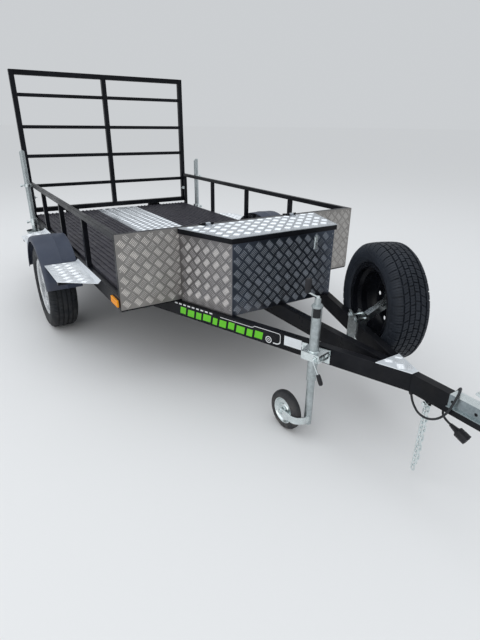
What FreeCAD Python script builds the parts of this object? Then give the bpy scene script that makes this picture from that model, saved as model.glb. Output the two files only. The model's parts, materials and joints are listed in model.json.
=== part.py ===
import FreeCAD, Part
import math
import os

# Single-axle utility trailer with a drop-down ramp gate, a tool box and a spare wheel on the drawbar
# Millimetres. +Z is up, the coupling points to -Y, the ramp gate is at +Y, the ground is z = 0.
# The origin is on the ground under the middle of the trailer.

# Load bed
deck_length = 2440.0
frame_width = 1570.0
frame_bottom = 455.0
side_rail_height = 80.0
side_rail_width = 40.0
cross_tube = 40.0
cross_count = 5
guard_tube = 30.0
guard_top = 855.0
bay_count = 4
wall_bottom = 465.0
sheet = 3.0
front_upright_x = 262.0
board_thickness = 18.0
board_gap = 2.0
rib_pitch = 35.0
rib_width = 13.0
rib_height = 5.0
strip_width = 400.0

# Ramp gate
gate_side_step = 2.0
gate_width = frame_width - 2.0 * gate_side_step
gate_height = 1168.0
gate_tube = 40.0
gate_bar = 28.0
gate_lift = 18.0
gate_clearance = 10.0
gate_bar_heights = (234.0, 489.0, 730.0, 980.0)
hinge_from_side = 365.0
hinge_x = frame_width / 2.0 - hinge_from_side
hinge_barrel_radius = 12.0
hinge_pin_radius = 6.0
hinge_knuckle = 60.0
hinge_ear = 30.0
hinge_ear_drop = 50.0
hinge_gap = 1.0
latch_length = 28.0
latch_depth = 12.0
latch_height = 24.0
latch_z = 700.0
latch_bolt_radius = 4.0
latch_reach = 4.0

# Wheels and axle
tyre_radius = 291.0
tyre_width = 178.0
rim_seat_radius = 178.0
rim_flange_radius = 195.0
rim_width = 152.0
rim_sheet = 5.0
wheel_out = 120.0
wheel_facets = 36
axle_before_middle = 105.0
axle_y_from_wall = deck_length / 2.0 - axle_before_middle
axle_tube = 60.0
axle_pad = 8.0
axle_pad_half_length = 75.0
axle_pad_width = 55.0
arm_reach = 140.0
arm_thickness = 20.0
stub_radius = 17.0
hub_radius = 46.0
wheel_offset = 40.0
spoke_pairs = 5

# Mudguards and side steps
fender_clearance = 61.0
fender_width = 220.0
fender_inner_gap = 5.0
fender_sheet = 4.0
fender_lip = 36.0
fender_end_angle = 12.0
fender_facets = 21
strap_seat = 0.3
step_top = 518.0
step_width = 208.0
step_fold = 18.0
step_before_axle = 787.0
step_inner_start = axle_y_from_wall - step_before_axle
step_slant = 140.0
step_outer_start = step_inner_start + step_slant
outrigger = 30.0

# Drawbar and coupling
beam_height = 80.0
beam_width = 40.0
beam_root_y = 600.0
beam_root_x = 700.0
centre_beam_reach = 1505.0
beam_meet_back = 318.0
beam_meet_y = centre_beam_reach - beam_meet_back
gusset_length = 140.0
gusset_end = beam_meet_y - 2.0
gusset_start = gusset_end - gusset_length
coupling_saddle = 153.0
coupling_bolts = (47.0, 137.0)
coupling_bolt_radius = 6.5
coupling_flange = 10.0
ball_drop = 32.0
ball_socket_length = 25.0
coupling_neck = 107.0
ball_radius = 25.2
coupling_sheet = 4.0
coupling_side = 46.0
cup_radius = 38.0

# Tool box on the drawbar
box_depth = 331.0
box_half_back = 448.0
box_half_front = 326.0
lid_tube = 26.0
lid_overhang = 8.0
lid_seat_gap = 0.5
lid_wall_gap = 5.0
lid_hinge_x = 280.0
lid_barrel_radius = 6.0

# Jockey wheel
jockey_reach = 819.0
jockey_tube_radius = 21.5
jockey_offset = 44.5
jockey_inner_radius = 17.5
jockey_wheel_radius = 97.0
jockey_wheel_width = 45.0
jockey_trail = 105.0
jockey_side = 47.0
jockey_heading = 90.0
jockey_tube_bottom = 300.0
jockey_tube_top = 658.0
jockey_cap_height = 32.0
jockey_rim_radius = 64.0
jockey_axle_radius = 8.0
jockey_facets = 24
jockey_arm_height = 36.0
jockey_arm_sheet = 8.0
crank_heading = 142.4
crank_reach = 44.0
crank_rod_radius = 3.5
crank_grip_radius = 15.0
clamp_top = 6.0
clamp_height = 36.0
clamp_front = 40.0
clamp_side = 50.0
clamp_sheet = 5.0

# Spare wheel
spare_reach = 704.0
spare_height = 550.0
spare_standoff = 98.0
spare_offset = 45.0
bracket_plate = 8.0
bracket_half = 46.0
bracket_over = 45.0
bracket_arm = 40.0
bracket_bolt_radius = 6.0
bracket_bolt_y = 30.0
bracket_bolt_end = 10.0
vent_holes = 10
vent_circle = 113.0
vent_radius = 11.0

# Rear stands
stand_out = 30.0
stand_from_rear = 190.0
stand_radius = 21.0
stand_top = 1125.0
stand_foot_bottom = 430.0
stand_right_drop = 110.0
stand_foot_radius = 72.0
stand_foot_depth = 24.0
stand_wall = 3.0
stand_clamp_wall = 6.0
stand_lower_clamp = 60.0
stand_lower_clamp_lift = 45.0
stand_upper_clamp = 24.0
stand_screw_radius = 5.0
stand_knob_radius = 12.0
stand_knob_length = 16.0

# Lead and safety chain
lead_radius = 4.5
plug_radius = 21.0
plug_length = 78.0
chain_y = 1262.0
shackle_half = 19.0
shackle_wire = 4.5
shackle_drop = 27.0
shackle_bolt_end = 33.0
link_wire = 3.5
link_half_length = 16.0
link_half_width = 9.0
link_bends = 4
link_gap = 0.6
chain_end = 16.0

# Lamps and markers
marker_start = 18.0
marker_length = 108.0
marker_depth = 14.0
marker_lift = 19.0
marker_height = 42.0
lamp_inset = 45.0
lamp_length = 225.0
lamp_depth = 34.0
lamp_margin = 4.0

running_gap = 0.3
V = FreeCAD.Vector
frame_top = frame_bottom + side_rail_height
frame_half = frame_width / 2.0
hinge_axis_reach = deck_length + gate_clearance + gate_tube
rear_reach = hinge_axis_reach + hinge_barrel_radius
ball_reach = centre_beam_reach + coupling_neck
nose_reach = ball_reach + cup_radius
wall_y = (nose_reach - rear_reach) / 2.0
axle_y = wall_y + axle_y_from_wall
guard_inner = frame_half - guard_tube
wheel_x = frame_half + wheel_out


# Basic solids
def box(x0, x1, y0, y1, z0, z1):
    return Part.makeBox(x1 - x0, y1 - y0, z1 - z0, V(x0, y0, z0))


def rod(start, direction, radius, length):
    return Part.makeCylinder(radius, length, V(*start), V(*direction))


def prism(points, along):
    wire = Part.makePolygon([V(*p) for p in points] + [V(*points[0])])
    return Part.Face(wire).extrude(V(*along))


def join(solids):
    shape = solids[0].fuse(solids[1:])
    return shape.removeSplitter()


def mirrored(shape):
    return shape.mirror(V(0, 0, 0), V(1, 0, 0))


def both_sides(shape):
    return [shape, mirrored(shape)]


def placed(shape, x, y, z, turn):
    copy = shape.copy()
    copy.rotate(V(0, 0, 0), V(0, 0, 1), turn)
    copy.translate(V(x, y, z))
    return copy


def through(sections, closed=True):
    # A solid of flat faces from each section to the next, and back to the first one where it is closed
    pairs = list(zip(sections, sections[1:]))
    if closed:
        pairs.append((sections[-1], sections[0]))
    faces = []
    for one, two in pairs:
        for a, b, c, d in zip(one, one[1:] + one[:1], two[1:] + two[:1], two):
            faces.append(Part.Face(Part.makePolygon([a, b, c, d, a])))
    if not closed:
        for end in (sections[0], sections[-1]):
            faces.append(Part.Face(Part.makePolygon(end + end[:1])))
    solid = Part.Solid(Part.Shell(faces))
    if solid.Volume < 0:
        solid.reverse()
    return solid


def facet_ring(points, facets, start=0.0, end=360.0):
    # Points are (along the axle, radius). The ring turns about the X axis from straight up,
    # in flat facets that touch the true circle from outside, with one facet flat on the ground.
    whole = end - start >= 360.0
    step = (end - start) / facets
    scale = 1.0 / math.cos(math.radians(step / 2.0))
    sections = []
    for i in range(facets if whole else facets + 1):
        turn = math.radians(start + step * (i + 0.5 if whole else i))
        sections.append([V(u, r * scale * math.sin(turn), r * scale * math.cos(turn)) for u, r in points])
    return through(sections, whole)


def capsule_outline(p0, r0, p1, r1, thickness):
    # A flat link in the YZ plane round two circles, extruded along +X
    y0, z0 = p0
    y1, z1 = p1
    span = math.hypot(y1 - y0, z1 - z0)
    heading = math.atan2(z1 - z0, y1 - y0)
    lean = math.acos((r0 - r1) / span)
    corners = []
    for centre, radius, turn in ((p0, r0, lean), (p1, r1, lean), (p1, r1, -lean), (p0, r0, -lean)):
        a = heading + turn
        corners.append((0, centre[0] + radius * math.cos(a), centre[1] + radius * math.sin(a)))
    web = prism(corners, (thickness, 0, 0))
    ends = [rod((0, y0, z0), (1, 0, 0), r0, thickness), rod((0, y1, z1), (1, 0, 0), r1, thickness)]
    return join([web] + ends)


nodes = {}


def export(name, solids):
    shape = solids[0] if len(solids) == 1 else Part.makeCompound(solids)
    nodes[name] = shape
    shape.exportStep("parts/" + name + ".step")


# Frame
def side_rails():
    rail = box(frame_half - side_rail_width, frame_half, wall_y, wall_y + deck_length,
               frame_bottom, frame_top)
    return both_sides(rail)


def cross_members():
    inner = frame_half - side_rail_width
    last = deck_length - cross_tube
    tubes = []
    for i in range(cross_count):
        y = wall_y + last * i / (cross_count - 1)
        is_end = i in (0, cross_count - 1)
        low = frame_bottom if is_end else frame_top - cross_tube
        tubes.append(box(-inner, inner, y, y + cross_tube, low, frame_top))
    tubes.append(box(-guard_inner, guard_inner, wall_y, wall_y + guard_tube,
                     guard_top - guard_tube, guard_top))
    return tubes


def deck_boards():
    # One board a side: a flat board with raised ribs that run lengthwise outside the centre strip
    start = board_gap / 2.0
    edge = guard_inner - board_gap
    z0 = frame_top
    z1 = z0 + board_thickness
    first_rib = strip_width / 2.0 + (rib_pitch - rib_width)
    count = int((edge - first_rib) // rib_pitch)
    outline = [(start, z0), (start, z1)]
    for i in range(count):
        x = first_rib + i * rib_pitch
        outline += [(x, z1), (x + 2.0, z1 + rib_height)]
        outline += [(x + rib_width - 2.0, z1 + rib_height), (x + rib_width, z1)]
    outline += [(edge, z1), (edge, z0)]
    y0 = wall_y + guard_tube + board_gap
    y1 = wall_y + deck_length - board_gap
    board = prism([(x, y0, z) for x, z in outline], (0, y1 - y0, 0))
    return both_sides(board)


def deck_strip():
    z = frame_top + board_thickness
    half = strip_width / 2.0
    return [box(-half, half, wall_y + guard_tube + board_gap, wall_y + deck_length - board_gap, z, z + sheet)]


def front_wall():
    return [box(-frame_half, frame_half, wall_y - sheet, wall_y, wall_bottom, guard_top)]


def guard_rails():
    rail = box(guard_inner, frame_half, wall_y, wall_y + deck_length, guard_top - guard_tube, guard_top)
    return both_sides(rail)


def post_starts():
    step = (deck_length - guard_tube) / bay_count
    return [wall_y + i * step for i in range(bay_count + 1)]


def guard_posts():
    posts = []
    for y in post_starts():
        post = box(guard_inner, frame_half, y, y + guard_tube, frame_top, guard_top - guard_tube)
        posts += both_sides(post)
    half = guard_tube / 2.0
    upright = box(front_upright_x - half, front_upright_x + half, wall_y, wall_y + guard_tube,
                  frame_top, guard_top - guard_tube)
    return posts + both_sides(upright)


# Drawbar
beam_half = beam_width / 2.0
beam_slope = (beam_root_x - beam_half) / (beam_root_y + beam_meet_y)
beam_angle = math.degrees(math.atan(beam_slope))
beam_cos = math.cos(math.radians(beam_angle))
beam_top = frame_bottom
beam_bottom = frame_bottom - beam_height


def beam_outer_x(reach):
    # Outer face of the right-hand beam at a distance ahead of the front wall
    return beam_half + (beam_meet_y - reach) * beam_slope


def drawbar_v_beams():
    wide = beam_width / beam_cos
    nose = beam_meet_y - wide / beam_slope
    plan = [(beam_root_x, wall_y + beam_root_y), (beam_half, wall_y - beam_meet_y),
            (beam_half, wall_y - nose), (beam_root_x - wide, wall_y + beam_root_y)]
    beam = prism([(x, y, beam_bottom) for x, y in plan], (0, 0, beam_height))
    return both_sides(beam)


def drawbar_centre_beam():
    beam = box(-beam_half, beam_half, wall_y - centre_beam_reach, wall_y + cross_tube, beam_bottom, beam_top)
    lug = chain_lug()
    return [join([beam, lug])]


def drawbar_gusset():
    back = beam_outer_x(gusset_start)
    front = beam_half - 1.0
    plan = [(-back, gusset_start), (back, gusset_start), (front, gusset_end), (-front, gusset_end)]
    return [prism([(x, wall_y - reach, beam_top) for x, reach in plan], (0, 0, sheet))]


# Coupling for a 50 mm ball
ball_y = wall_y - ball_reach
ball_z = beam_top - ball_drop
cup_bottom = ball_z - ball_socket_length


def coupling_head():
    # A saddle of bent plate over the beam, with its lower edges turned out, and a neck down to the ball cup
    outer = beam_half + coupling_sheet
    y0 = wall_y - centre_beam_reach
    y1 = y0 + coupling_saddle
    z1 = beam_top + coupling_sheet
    low = beam_top - coupling_side
    saddle = box(-outer, outer, y0, y1, low, z1)
    flange_out = outer + coupling_flange
    flange = box(-flange_out, flange_out, y0, y1, low, low + coupling_sheet)
    neck = prism([(-outer, y0, low), (outer, y0, low), (cup_radius - 8.0, ball_y, low),
                  (8.0 - cup_radius, ball_y, low)], (0, 0, z1 - low))
    cup = rod((0, ball_y, cup_bottom), (0, 0, 1), cup_radius, z1 - cup_bottom)
    shape = join([saddle, flange, neck, cup])
    beam_room = box(-beam_half, beam_half, y0, y1, beam_bottom, beam_top)
    socket = Part.makeSphere(ball_radius, V(0, ball_y, ball_z))
    mouth = rod((0, ball_y, cup_bottom - 1.0), (0, 0, 1), ball_radius, ball_z - cup_bottom + 1.0)
    shape = shape.cut([beam_room, socket, mouth])
    bolt_z = beam_top - coupling_side / 2.0
    for back in coupling_bolts:
        shape = shape.cut(rod((-outer - 1.0, y0 + back, bolt_z), (1, 0, 0), coupling_bolt_radius,
                              2.0 * outer + 2.0))
    return [shape]


def coupling_handle():
    # A pressed lever over the cup, raised towards its grip
    z = beam_top + coupling_sheet
    side = [(ball_y - 14.0, z), (ball_y - 14.0, z + 12.0), (ball_y + 30.0, z + 22.0),
            (ball_y + 150.0, z + 44.0), (ball_y + 178.0, z + 46.0), (ball_y + 178.0, z + 38.0),
            (ball_y + 150.0, z + 34.0), (ball_y + 44.0, z + 12.0), (ball_y + 30.0, z)]
    return [prism([(-14.0, y, h) for y, h in side], (28.0, 0, 0))]


# Tool box. The lid closes level with the guard rail
lid_top = guard_top + lid_seat_gap
lid_bottom = lid_top - sheet - lid_tube
box_top = lid_bottom - lid_seat_gap


def box_plan(grow, back):
    half_back = box_half_back + grow
    half_front = box_half_front + grow
    front = wall_y - sheet - box_depth - grow
    return [(-half_back, back), (half_back, back), (half_front, front), (-half_front, front)]


def toolbox_body():
    back = wall_y - sheet
    outer = prism([(x, y, beam_top) for x, y in box_plan(0.0, back)], (0, 0, box_top - beam_top))
    inner = prism([(x, y, beam_top + sheet) for x, y in box_plan(-sheet, back - sheet)],
                  (0, 0, box_top - beam_top))
    return [outer.cut(inner)]


lid_back = wall_y - sheet - lid_wall_gap
lid_axis_z = lid_top + lid_barrel_radius + lid_seat_gap


def lid_frame():
    outer = prism([(x, y, lid_bottom) for x, y in box_plan(lid_overhang, lid_back)], (0, 0, lid_tube))
    grow = lid_overhang - lid_tube
    inner = prism([(x, y, lid_bottom) for x, y in box_plan(grow, lid_back - lid_tube)], (0, 0, lid_tube))
    return [outer.cut(inner)]


def lid_plate():
    z = lid_bottom + lid_tube
    plate = prism([(x, y, z) for x, y in box_plan(lid_overhang, lid_back)], (0, 0, sheet))
    solids = [plate]
    for x in (-lid_hinge_x, lid_hinge_x):
        leaf = box(x - 14.0, x + 14.0, lid_back - 40.0, lid_back, z + sheet, z + sheet + 3.0)
        barrel = rod((x - 14.0, lid_back, lid_axis_z), (1, 0, 0), lid_barrel_radius, 28.0)
        solids += [leaf, barrel]
    shape = join(solids)
    for x in (-lid_hinge_x, lid_hinge_x):
        shape = shape.cut(rod((x - 15.0, lid_back, lid_axis_z), (1, 0, 0), 2.5 + running_gap, 30.0))
    return [shape]


def lid_hinges():
    hinges = []
    for x in (-lid_hinge_x, lid_hinge_x):
        pin = rod((x - 34.0, lid_back, lid_axis_z), (1, 0, 0), 2.5, 68.0)
        solids = [pin]
        for x0 in (x - 34.0, x + 14.5):
            solids.append(rod((x0, lid_back, lid_axis_z), (1, 0, 0), lid_barrel_radius, 19.5))
            solids.append(box(x0, x0 + 19.5, lid_back + 1.0, wall_y + guard_tube,
                              guard_top, lid_axis_z - 1.0))
        hinges.append(join(solids))
    return hinges


def toolbox_latch():
    # A toggle catch: base plate on the box front, its lever and hook
    face = wall_y - sheet - box_depth
    x = 195.0
    base = box(x - 11.0, x + 11.0, face - 3.0, face, box_top - 91.0, box_top - 26.0)
    lever = box(x - 8.0, x + 8.0, face - 9.0, face - 3.0, box_top - 88.0, box_top - 48.0)
    hook = box(x - 5.0, x + 5.0, face - 7.0, face - 3.0, box_top - 48.0, box_top - 14.0)
    return [join([base, lever, hook])]


# Axle
arm_pivot_y = axle_y - arm_reach
axle_top = frame_bottom - axle_pad
pivot_z = axle_top - axle_tube / 2.0
arm_inner = frame_half + 2.0


def axle_beam():
    half = axle_tube / 2.0
    tube = box(-arm_inner, arm_inner, arm_pivot_y - half, arm_pivot_y + half, pivot_z - half, axle_top)
    pads = both_sides(box(frame_half - axle_pad_width, frame_half, arm_pivot_y - axle_pad_half_length,
                          arm_pivot_y + axle_pad_half_length, axle_top, frame_bottom))
    return [join([tube] + pads)]


def axle_arms():
    arm = capsule_outline((arm_pivot_y, pivot_z), 38.0, (axle_y, tyre_radius), 30.0, arm_thickness)
    arm.translate(V(arm_inner, 0, 0))
    start = arm_inner + arm_thickness
    stub = rod((start, axle_y, tyre_radius), (1, 0, 0), stub_radius, wheel_x + wheel_offset - 20.0 - start)
    return both_sides(join([arm, stub]))


# Wheels, first with the axle along X and the outer side towards +X
def tyre_section():
    # Points are (distance from the middle plane, radius), round the hollow case
    half = tyre_width / 2.0
    seat = rim_seat_radius + running_gap
    bead = rim_width / 2.0 - 6.0 - running_gap
    outer = [(bead, seat), (bead, rim_flange_radius + 1.0), (half, rim_flange_radius + 40.0),
             (half - 5.0, tyre_radius - 28.0), (half - 25.0, tyre_radius)]
    inner = [(bead - 12.0, seat), (half - 12.0, rim_flange_radius + 38.0), (half - 30.0, tyre_radius - 17.0)]
    return outer + [(-u, r) for u, r in reversed(outer)] + [(-u, r) for u, r in inner] + list(reversed(inner))


def rim_barrel():
    # The drop centre lies between the two bead seats
    half = rim_width / 2.0
    seat = rim_seat_radius
    t = rim_sheet
    outer = [(-half, rim_flange_radius), (6.0 - half, rim_flange_radius), (6.0 - half, seat),
             (32.0 - half, seat - 2.0), (44.0 - half, seat - 20.0), (half - 52.0, seat - 20.0),
             (half - 38.0, seat - 2.0),
             (half - 6.0, seat), (half - 6.0, rim_flange_radius), (half, rim_flange_radius)]
    inner = [(half, seat - t), (half - 36.0, seat - t - 2.0), (half - 50.0, seat - t - 20.0),
             (42.0 - half, seat - t - 20.0), (30.0 - half, seat - t - 2.0), (-half, seat - t)]
    return facet_ring(outer + inner, wheel_facets)


def road_tyre():
    return facet_ring(tyre_section(), wheel_facets)


def alloy_rim():
    # Barrel, hub disc and pairs of tapered spokes
    face = wheel_offset
    reach = rim_seat_radius - rim_sheet
    disc = facet_ring([(face, 33.0), (face + 14.0, 33.0), (face + 14.0, 74.0), (face, 74.0)], wheel_facets)
    solids = [rim_barrel(), disc]
    for i in range(spoke_pairs):
        for lean in (-11.0, 11.0):
            plan = [(-11.0, 70.0), (11.0, 70.0), (8.0, reach), (-8.0, reach)]
            spoke = prism([(face + 2.0, y, z) for y, z in plan], (10.0, 0, 0))
            spoke.rotate(V(0, 0, 0), V(1, 0, 0), 360.0 * i / spoke_pairs + lean)
            solids.append(spoke)
    return join(solids)


def hub():
    flange = rod((wheel_offset - 12.0, 0, 0), (1, 0, 0), 68.0, 12.0)
    inner_end = -(wheel_x - arm_inner - arm_thickness) + 2.0
    body = rod((inner_end, 0, 0), (1, 0, 0), hub_radius, wheel_offset - 12.0 - inner_end)
    cap = rod((wheel_offset, 0, 0), (1, 0, 0), 32.0, 24.0)
    shape = join([flange, body, cap])
    bore_end = wheel_offset - 18.0
    return shape.cut(rod((inner_end - 1.0, 0, 0), (1, 0, 0), stub_radius + running_gap, bore_end - inner_end))


def on_axle(shape):
    copy = shape.copy()
    copy.translate(V(wheel_x, axle_y, tyre_radius))
    return copy


# Mudguards, their brackets and the side steps
fender_radius = tyre_radius + fender_clearance
fender_x0 = frame_half + fender_inner_gap
fender_x1 = fender_x0 + fender_width


def fender():
    r = fender_radius
    t = fender_sheet
    ridge = fender_x0 + 0.42 * fender_width
    outer = [(fender_x0, r), (ridge - 3.0, r + 3.0), (ridge, r + 5.0), (ridge + 3.0, r + 3.0),
             (fender_x1 - 14.0, r), (fender_x1, r - 14.0), (fender_x1, r - fender_lip)]
    inner = [(fender_x1 - t, r - fender_lip), (fender_x1 - t, r - 16.0), (fender_x1 - 16.0, r - t),
             (fender_x0, r - t)]
    reach = 90.0 - fender_end_angle
    arch = facet_ring(outer + inner, fender_facets, -reach, reach)
    arch.translate(V(0, axle_y, tyre_radius))
    return arch


def fender_brackets():
    # A strap over each wheel and two outriggers under each step
    strap_top = tyre_radius + fender_radius - fender_sheet - strap_seat
    leg = box(frame_half, frame_half + 5.0, axle_y - 20.0, axle_y + 20.0, frame_bottom + 15.0, strap_top)
    strap = box(frame_half, fender_x1 - 20.0, axle_y - 20.0, axle_y + 20.0, strap_top - 5.0, strap_top)
    solids = both_sides(join([leg, strap]))
    for reach in (step_outer_start + 30.0, step_end() - 60.0):
        y = wall_y + reach
        for y0 in (y, 2.0 * axle_y - y - outrigger):
            bar = box(frame_half, frame_half + step_width - 8.0, y0, y0 + outrigger,
                      step_top - sheet - outrigger, step_top - sheet)
            solids += both_sides(bar)
    return solids


def step_end():
    rise = step_top - tyre_radius
    return axle_y_from_wall - math.sqrt((fender_radius + 5.0) ** 2 - rise ** 2) - 4.0


def step_plates():
    x0 = frame_half
    x1 = frame_half + step_width
    fold = x0 + step_fold
    low = step_top - sheet
    plan = [(fold, step_inner_start), (x1, step_outer_start), (x1, step_end()), (fold, step_end())]
    tread = prism([(x, wall_y + reach, low) for x, reach in plan], (0, 0, sheet))
    side = [(x0, frame_top), (fold, step_top), (fold, low), (fold - sheet / 2.0, low),
            (x0, frame_top - 1.5 * sheet)]
    upstand = prism([(x, wall_y + step_inner_start, z) for x, z in side], (0, step_end() - step_inner_start, 0))
    front = join([tread, upstand])
    rear = front.mirror(V(0, axle_y, 0), V(0, 1, 0))
    return both_sides(front) + both_sides(rear)


# Lamps and markers
def side_markers():
    y0 = wall_y + marker_start
    z0 = frame_bottom + marker_lift
    marker = box(frame_half, frame_half + marker_depth, y0, y0 + marker_length, z0, z0 + marker_height)
    return both_sides(marker)


def rear_lamps():
    y0 = wall_y + deck_length
    x1 = frame_half - lamp_inset
    lamp = box(x1 - lamp_length, x1, y0, y0 + lamp_depth, frame_bottom + lamp_margin, frame_top - lamp_margin)
    return both_sides(lamp)


# Ramp gate
gate_y0 = wall_y + deck_length + gate_clearance
gate_y1 = gate_y0 + gate_tube
gate_axis_z = frame_top + 19.0
gate_z0 = gate_axis_z + gate_lift
gate_z1 = gate_z0 + gate_height
gate_half = gate_width / 2.0


def gate_uprights():
    side = box(gate_half - gate_tube, gate_half, gate_y0, gate_y1, gate_z0, gate_z1)
    middle = box(-gate_tube / 2.0, gate_tube / 2.0, gate_y0, gate_y1, gate_z0, gate_z1)
    return both_sides(side) + [middle]


def gate_bars():
    x0 = gate_tube / 2.0
    x1 = gate_half - gate_tube
    inset = (gate_tube - gate_bar) / 2.0
    bars = [box(x0, x1, gate_y0, gate_y1, gate_z1 - gate_tube, gate_z1)]
    for height in gate_bar_heights:
        z = gate_z0 + height
        bars.append(box(x0, x1, gate_y0 + inset, gate_y1 - inset, z - gate_bar / 2.0, z + gate_bar / 2.0))
    bottom = box(x0, x1, gate_y0, gate_y1, gate_z0, gate_z0 + gate_tube)
    half = hinge_knuckle / 2.0
    tab = box(hinge_x - half, hinge_x + half, gate_y1 - 24.0, gate_y1, gate_axis_z, gate_z0)
    barrel = rod((hinge_x - half, gate_y1, gate_axis_z), (1, 0, 0), hinge_barrel_radius, hinge_knuckle)
    bore = rod((hinge_x - half - 1.0, gate_y1, gate_axis_z), (1, 0, 0), hinge_pin_radius + running_gap,
               hinge_knuckle + 2.0)
    bars.append(join([bottom, tab, barrel]).cut(bore))
    return [solid for bar in bars for solid in both_sides(bar)]


def gate_hinges():
    # Two ears and a pin a side, welded to the rear cross member
    half = hinge_knuckle / 2.0
    y0 = wall_y + deck_length
    first = hinge_x - half - hinge_gap - hinge_ear
    solids = [rod((first, gate_y1, gate_axis_z), (1, 0, 0), hinge_pin_radius,
                  hinge_knuckle + 2.0 * (hinge_gap + hinge_ear))]
    for x0 in (first, hinge_x + half + hinge_gap):
        side = [(y0, frame_top - hinge_ear_drop), (y0, frame_top), (gate_y1 - 14.0, gate_axis_z + 8.0),
                (gate_y1, gate_axis_z + 8.0), (gate_y1, gate_axis_z - hinge_barrel_radius + 1.0)]
        solids.append(prism([(x0, y, z) for y, z in side], (hinge_ear, 0, 0)))
        solids.append(rod((x0, gate_y1, gate_axis_z), (1, 0, 0), hinge_barrel_radius, hinge_ear))
    return both_sides(join(solids))


def gate_latches():
    # A short slide bolt on the inner face of each rear post, drawn back so that the gate is free
    y0 = wall_y + deck_length - guard_tube + 1.0
    x0 = guard_inner - latch_depth
    body = box(x0, guard_inner, y0, y0 + latch_length, latch_z, latch_z + latch_height)
    centre_x = guard_inner - latch_depth / 2.0
    centre_z = latch_z + latch_height / 2.0
    bolt = rod((centre_x, y0, centre_z), (0, 1, 0), latch_bolt_radius, guard_tube - 1.0 + latch_reach)
    knob = rod((centre_x, y0 + latch_length / 2.0, centre_z), (-1, 0, 0), latch_bolt_radius,
               2.0 * latch_depth)
    return both_sides(join([body, bolt, knob]))


# Jockey wheel on the left-hand beam
jockey_y = wall_y - jockey_reach
jockey_x = -(beam_outer_x(jockey_reach) + jockey_offset / beam_cos)


def jockey_clamp():
    # A folded bracket on the beam's outer face round a split ring. Local +X points at that face
    top = beam_top - clamp_top
    low = top - clamp_height
    t = clamp_sheet
    plate = box(jockey_offset - 6.0, jockey_offset, -clamp_side - 12.0, clamp_side + 12.0, beam_bottom + 8.0, top)
    shelf = box(-clamp_front, jockey_offset, -clamp_side, clamp_side, top - t, top)
    front = box(-clamp_front, t - clamp_front, -clamp_side, clamp_side, low, top)
    solids = [plate, shelf, front]
    for y in (-clamp_side, clamp_side - t):
        solids.append(box(-clamp_front, jockey_offset, y, y + t, low, top))
    ring = rod((0, 0, low), (0, 0, 1), jockey_tube_radius + 8.0, clamp_height)
    solids.append(ring)
    # The screw comes out of the front and its lever hangs down towards the nose
    pivot = (-clamp_front - 12.0, -20.0, low + 16.0)
    solids.append(rod((-jockey_tube_radius - 4.0, -20.0, pivot[2]), (-1, 0, 0), 7.0,
                      clamp_front + 18.0 - jockey_tube_radius - 4.0))
    way = V(0.02, -0.36, -0.93)
    solids.append(rod(pivot, way, crank_rod_radius, 72.0))
    way.normalize()
    end = V(*pivot) + way * 68.0
    solids.append(rod((end.x, end.y, end.z), way, 10.0, 50.0))
    bore = rod((0, 0, beam_bottom), (0, 0, 1), jockey_tube_radius + running_gap, beam_height)
    return [placed(join(solids).cut(bore), jockey_x, jockey_y, 0, beam_angle)]


def jockey_outer_tube():
    r = jockey_tube_radius
    length = jockey_tube_top - jockey_tube_bottom
    tube = rod((0, 0, jockey_tube_bottom), (0, 0, 1), r, length)
    collar = rod((0, 0, jockey_tube_top - 8.0), (0, 0, 1), r + 2.5, 10.0)
    flange = rod((0, 0, jockey_tube_top), (0, 0, 1), r - 1.5, 7.0)
    cap = rod((0, 0, jockey_tube_top), (0, 0, 1), 13.5, jockey_cap_height)
    bore = rod((0, 0, jockey_tube_bottom - 1.0), (0, 0, 1), jockey_inner_radius + running_gap, length - 2.0)
    return [placed(join([tube, collar, flange, cap]).cut(bore), jockey_x, jockey_y, 0, 0)]


def jockey_crank():
    # A bent rod from the spindle with an upright grip
    z = jockey_tube_top + jockey_cap_height
    grip_z = z + 24.0
    spindle = rod((0, 0, z), (0, 0, 1), 8.0, 10.0)
    arm = rod((0, 0, z + 5.0), (crank_reach, 0, grip_z - z), crank_rod_radius,
              math.hypot(crank_reach, grip_z - z))
    grip = rod((crank_reach, 0, grip_z), (0, 0, 1), crank_grip_radius, 62.0)
    return [placed(join([spindle, arm, grip]), jockey_x, jockey_y, 0, crank_heading)]


def jockey_inner_tube():
    tube = rod((0, 0, 150.0), (0, 0, 1), jockey_inner_radius, 365.0)
    bore = rod((0, 0, 149.0), (0, 0, 1), 9.0 + running_gap, 46.0)
    return [placed(tube.cut(bore), jockey_x, jockey_y, 0, 0)]


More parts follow.
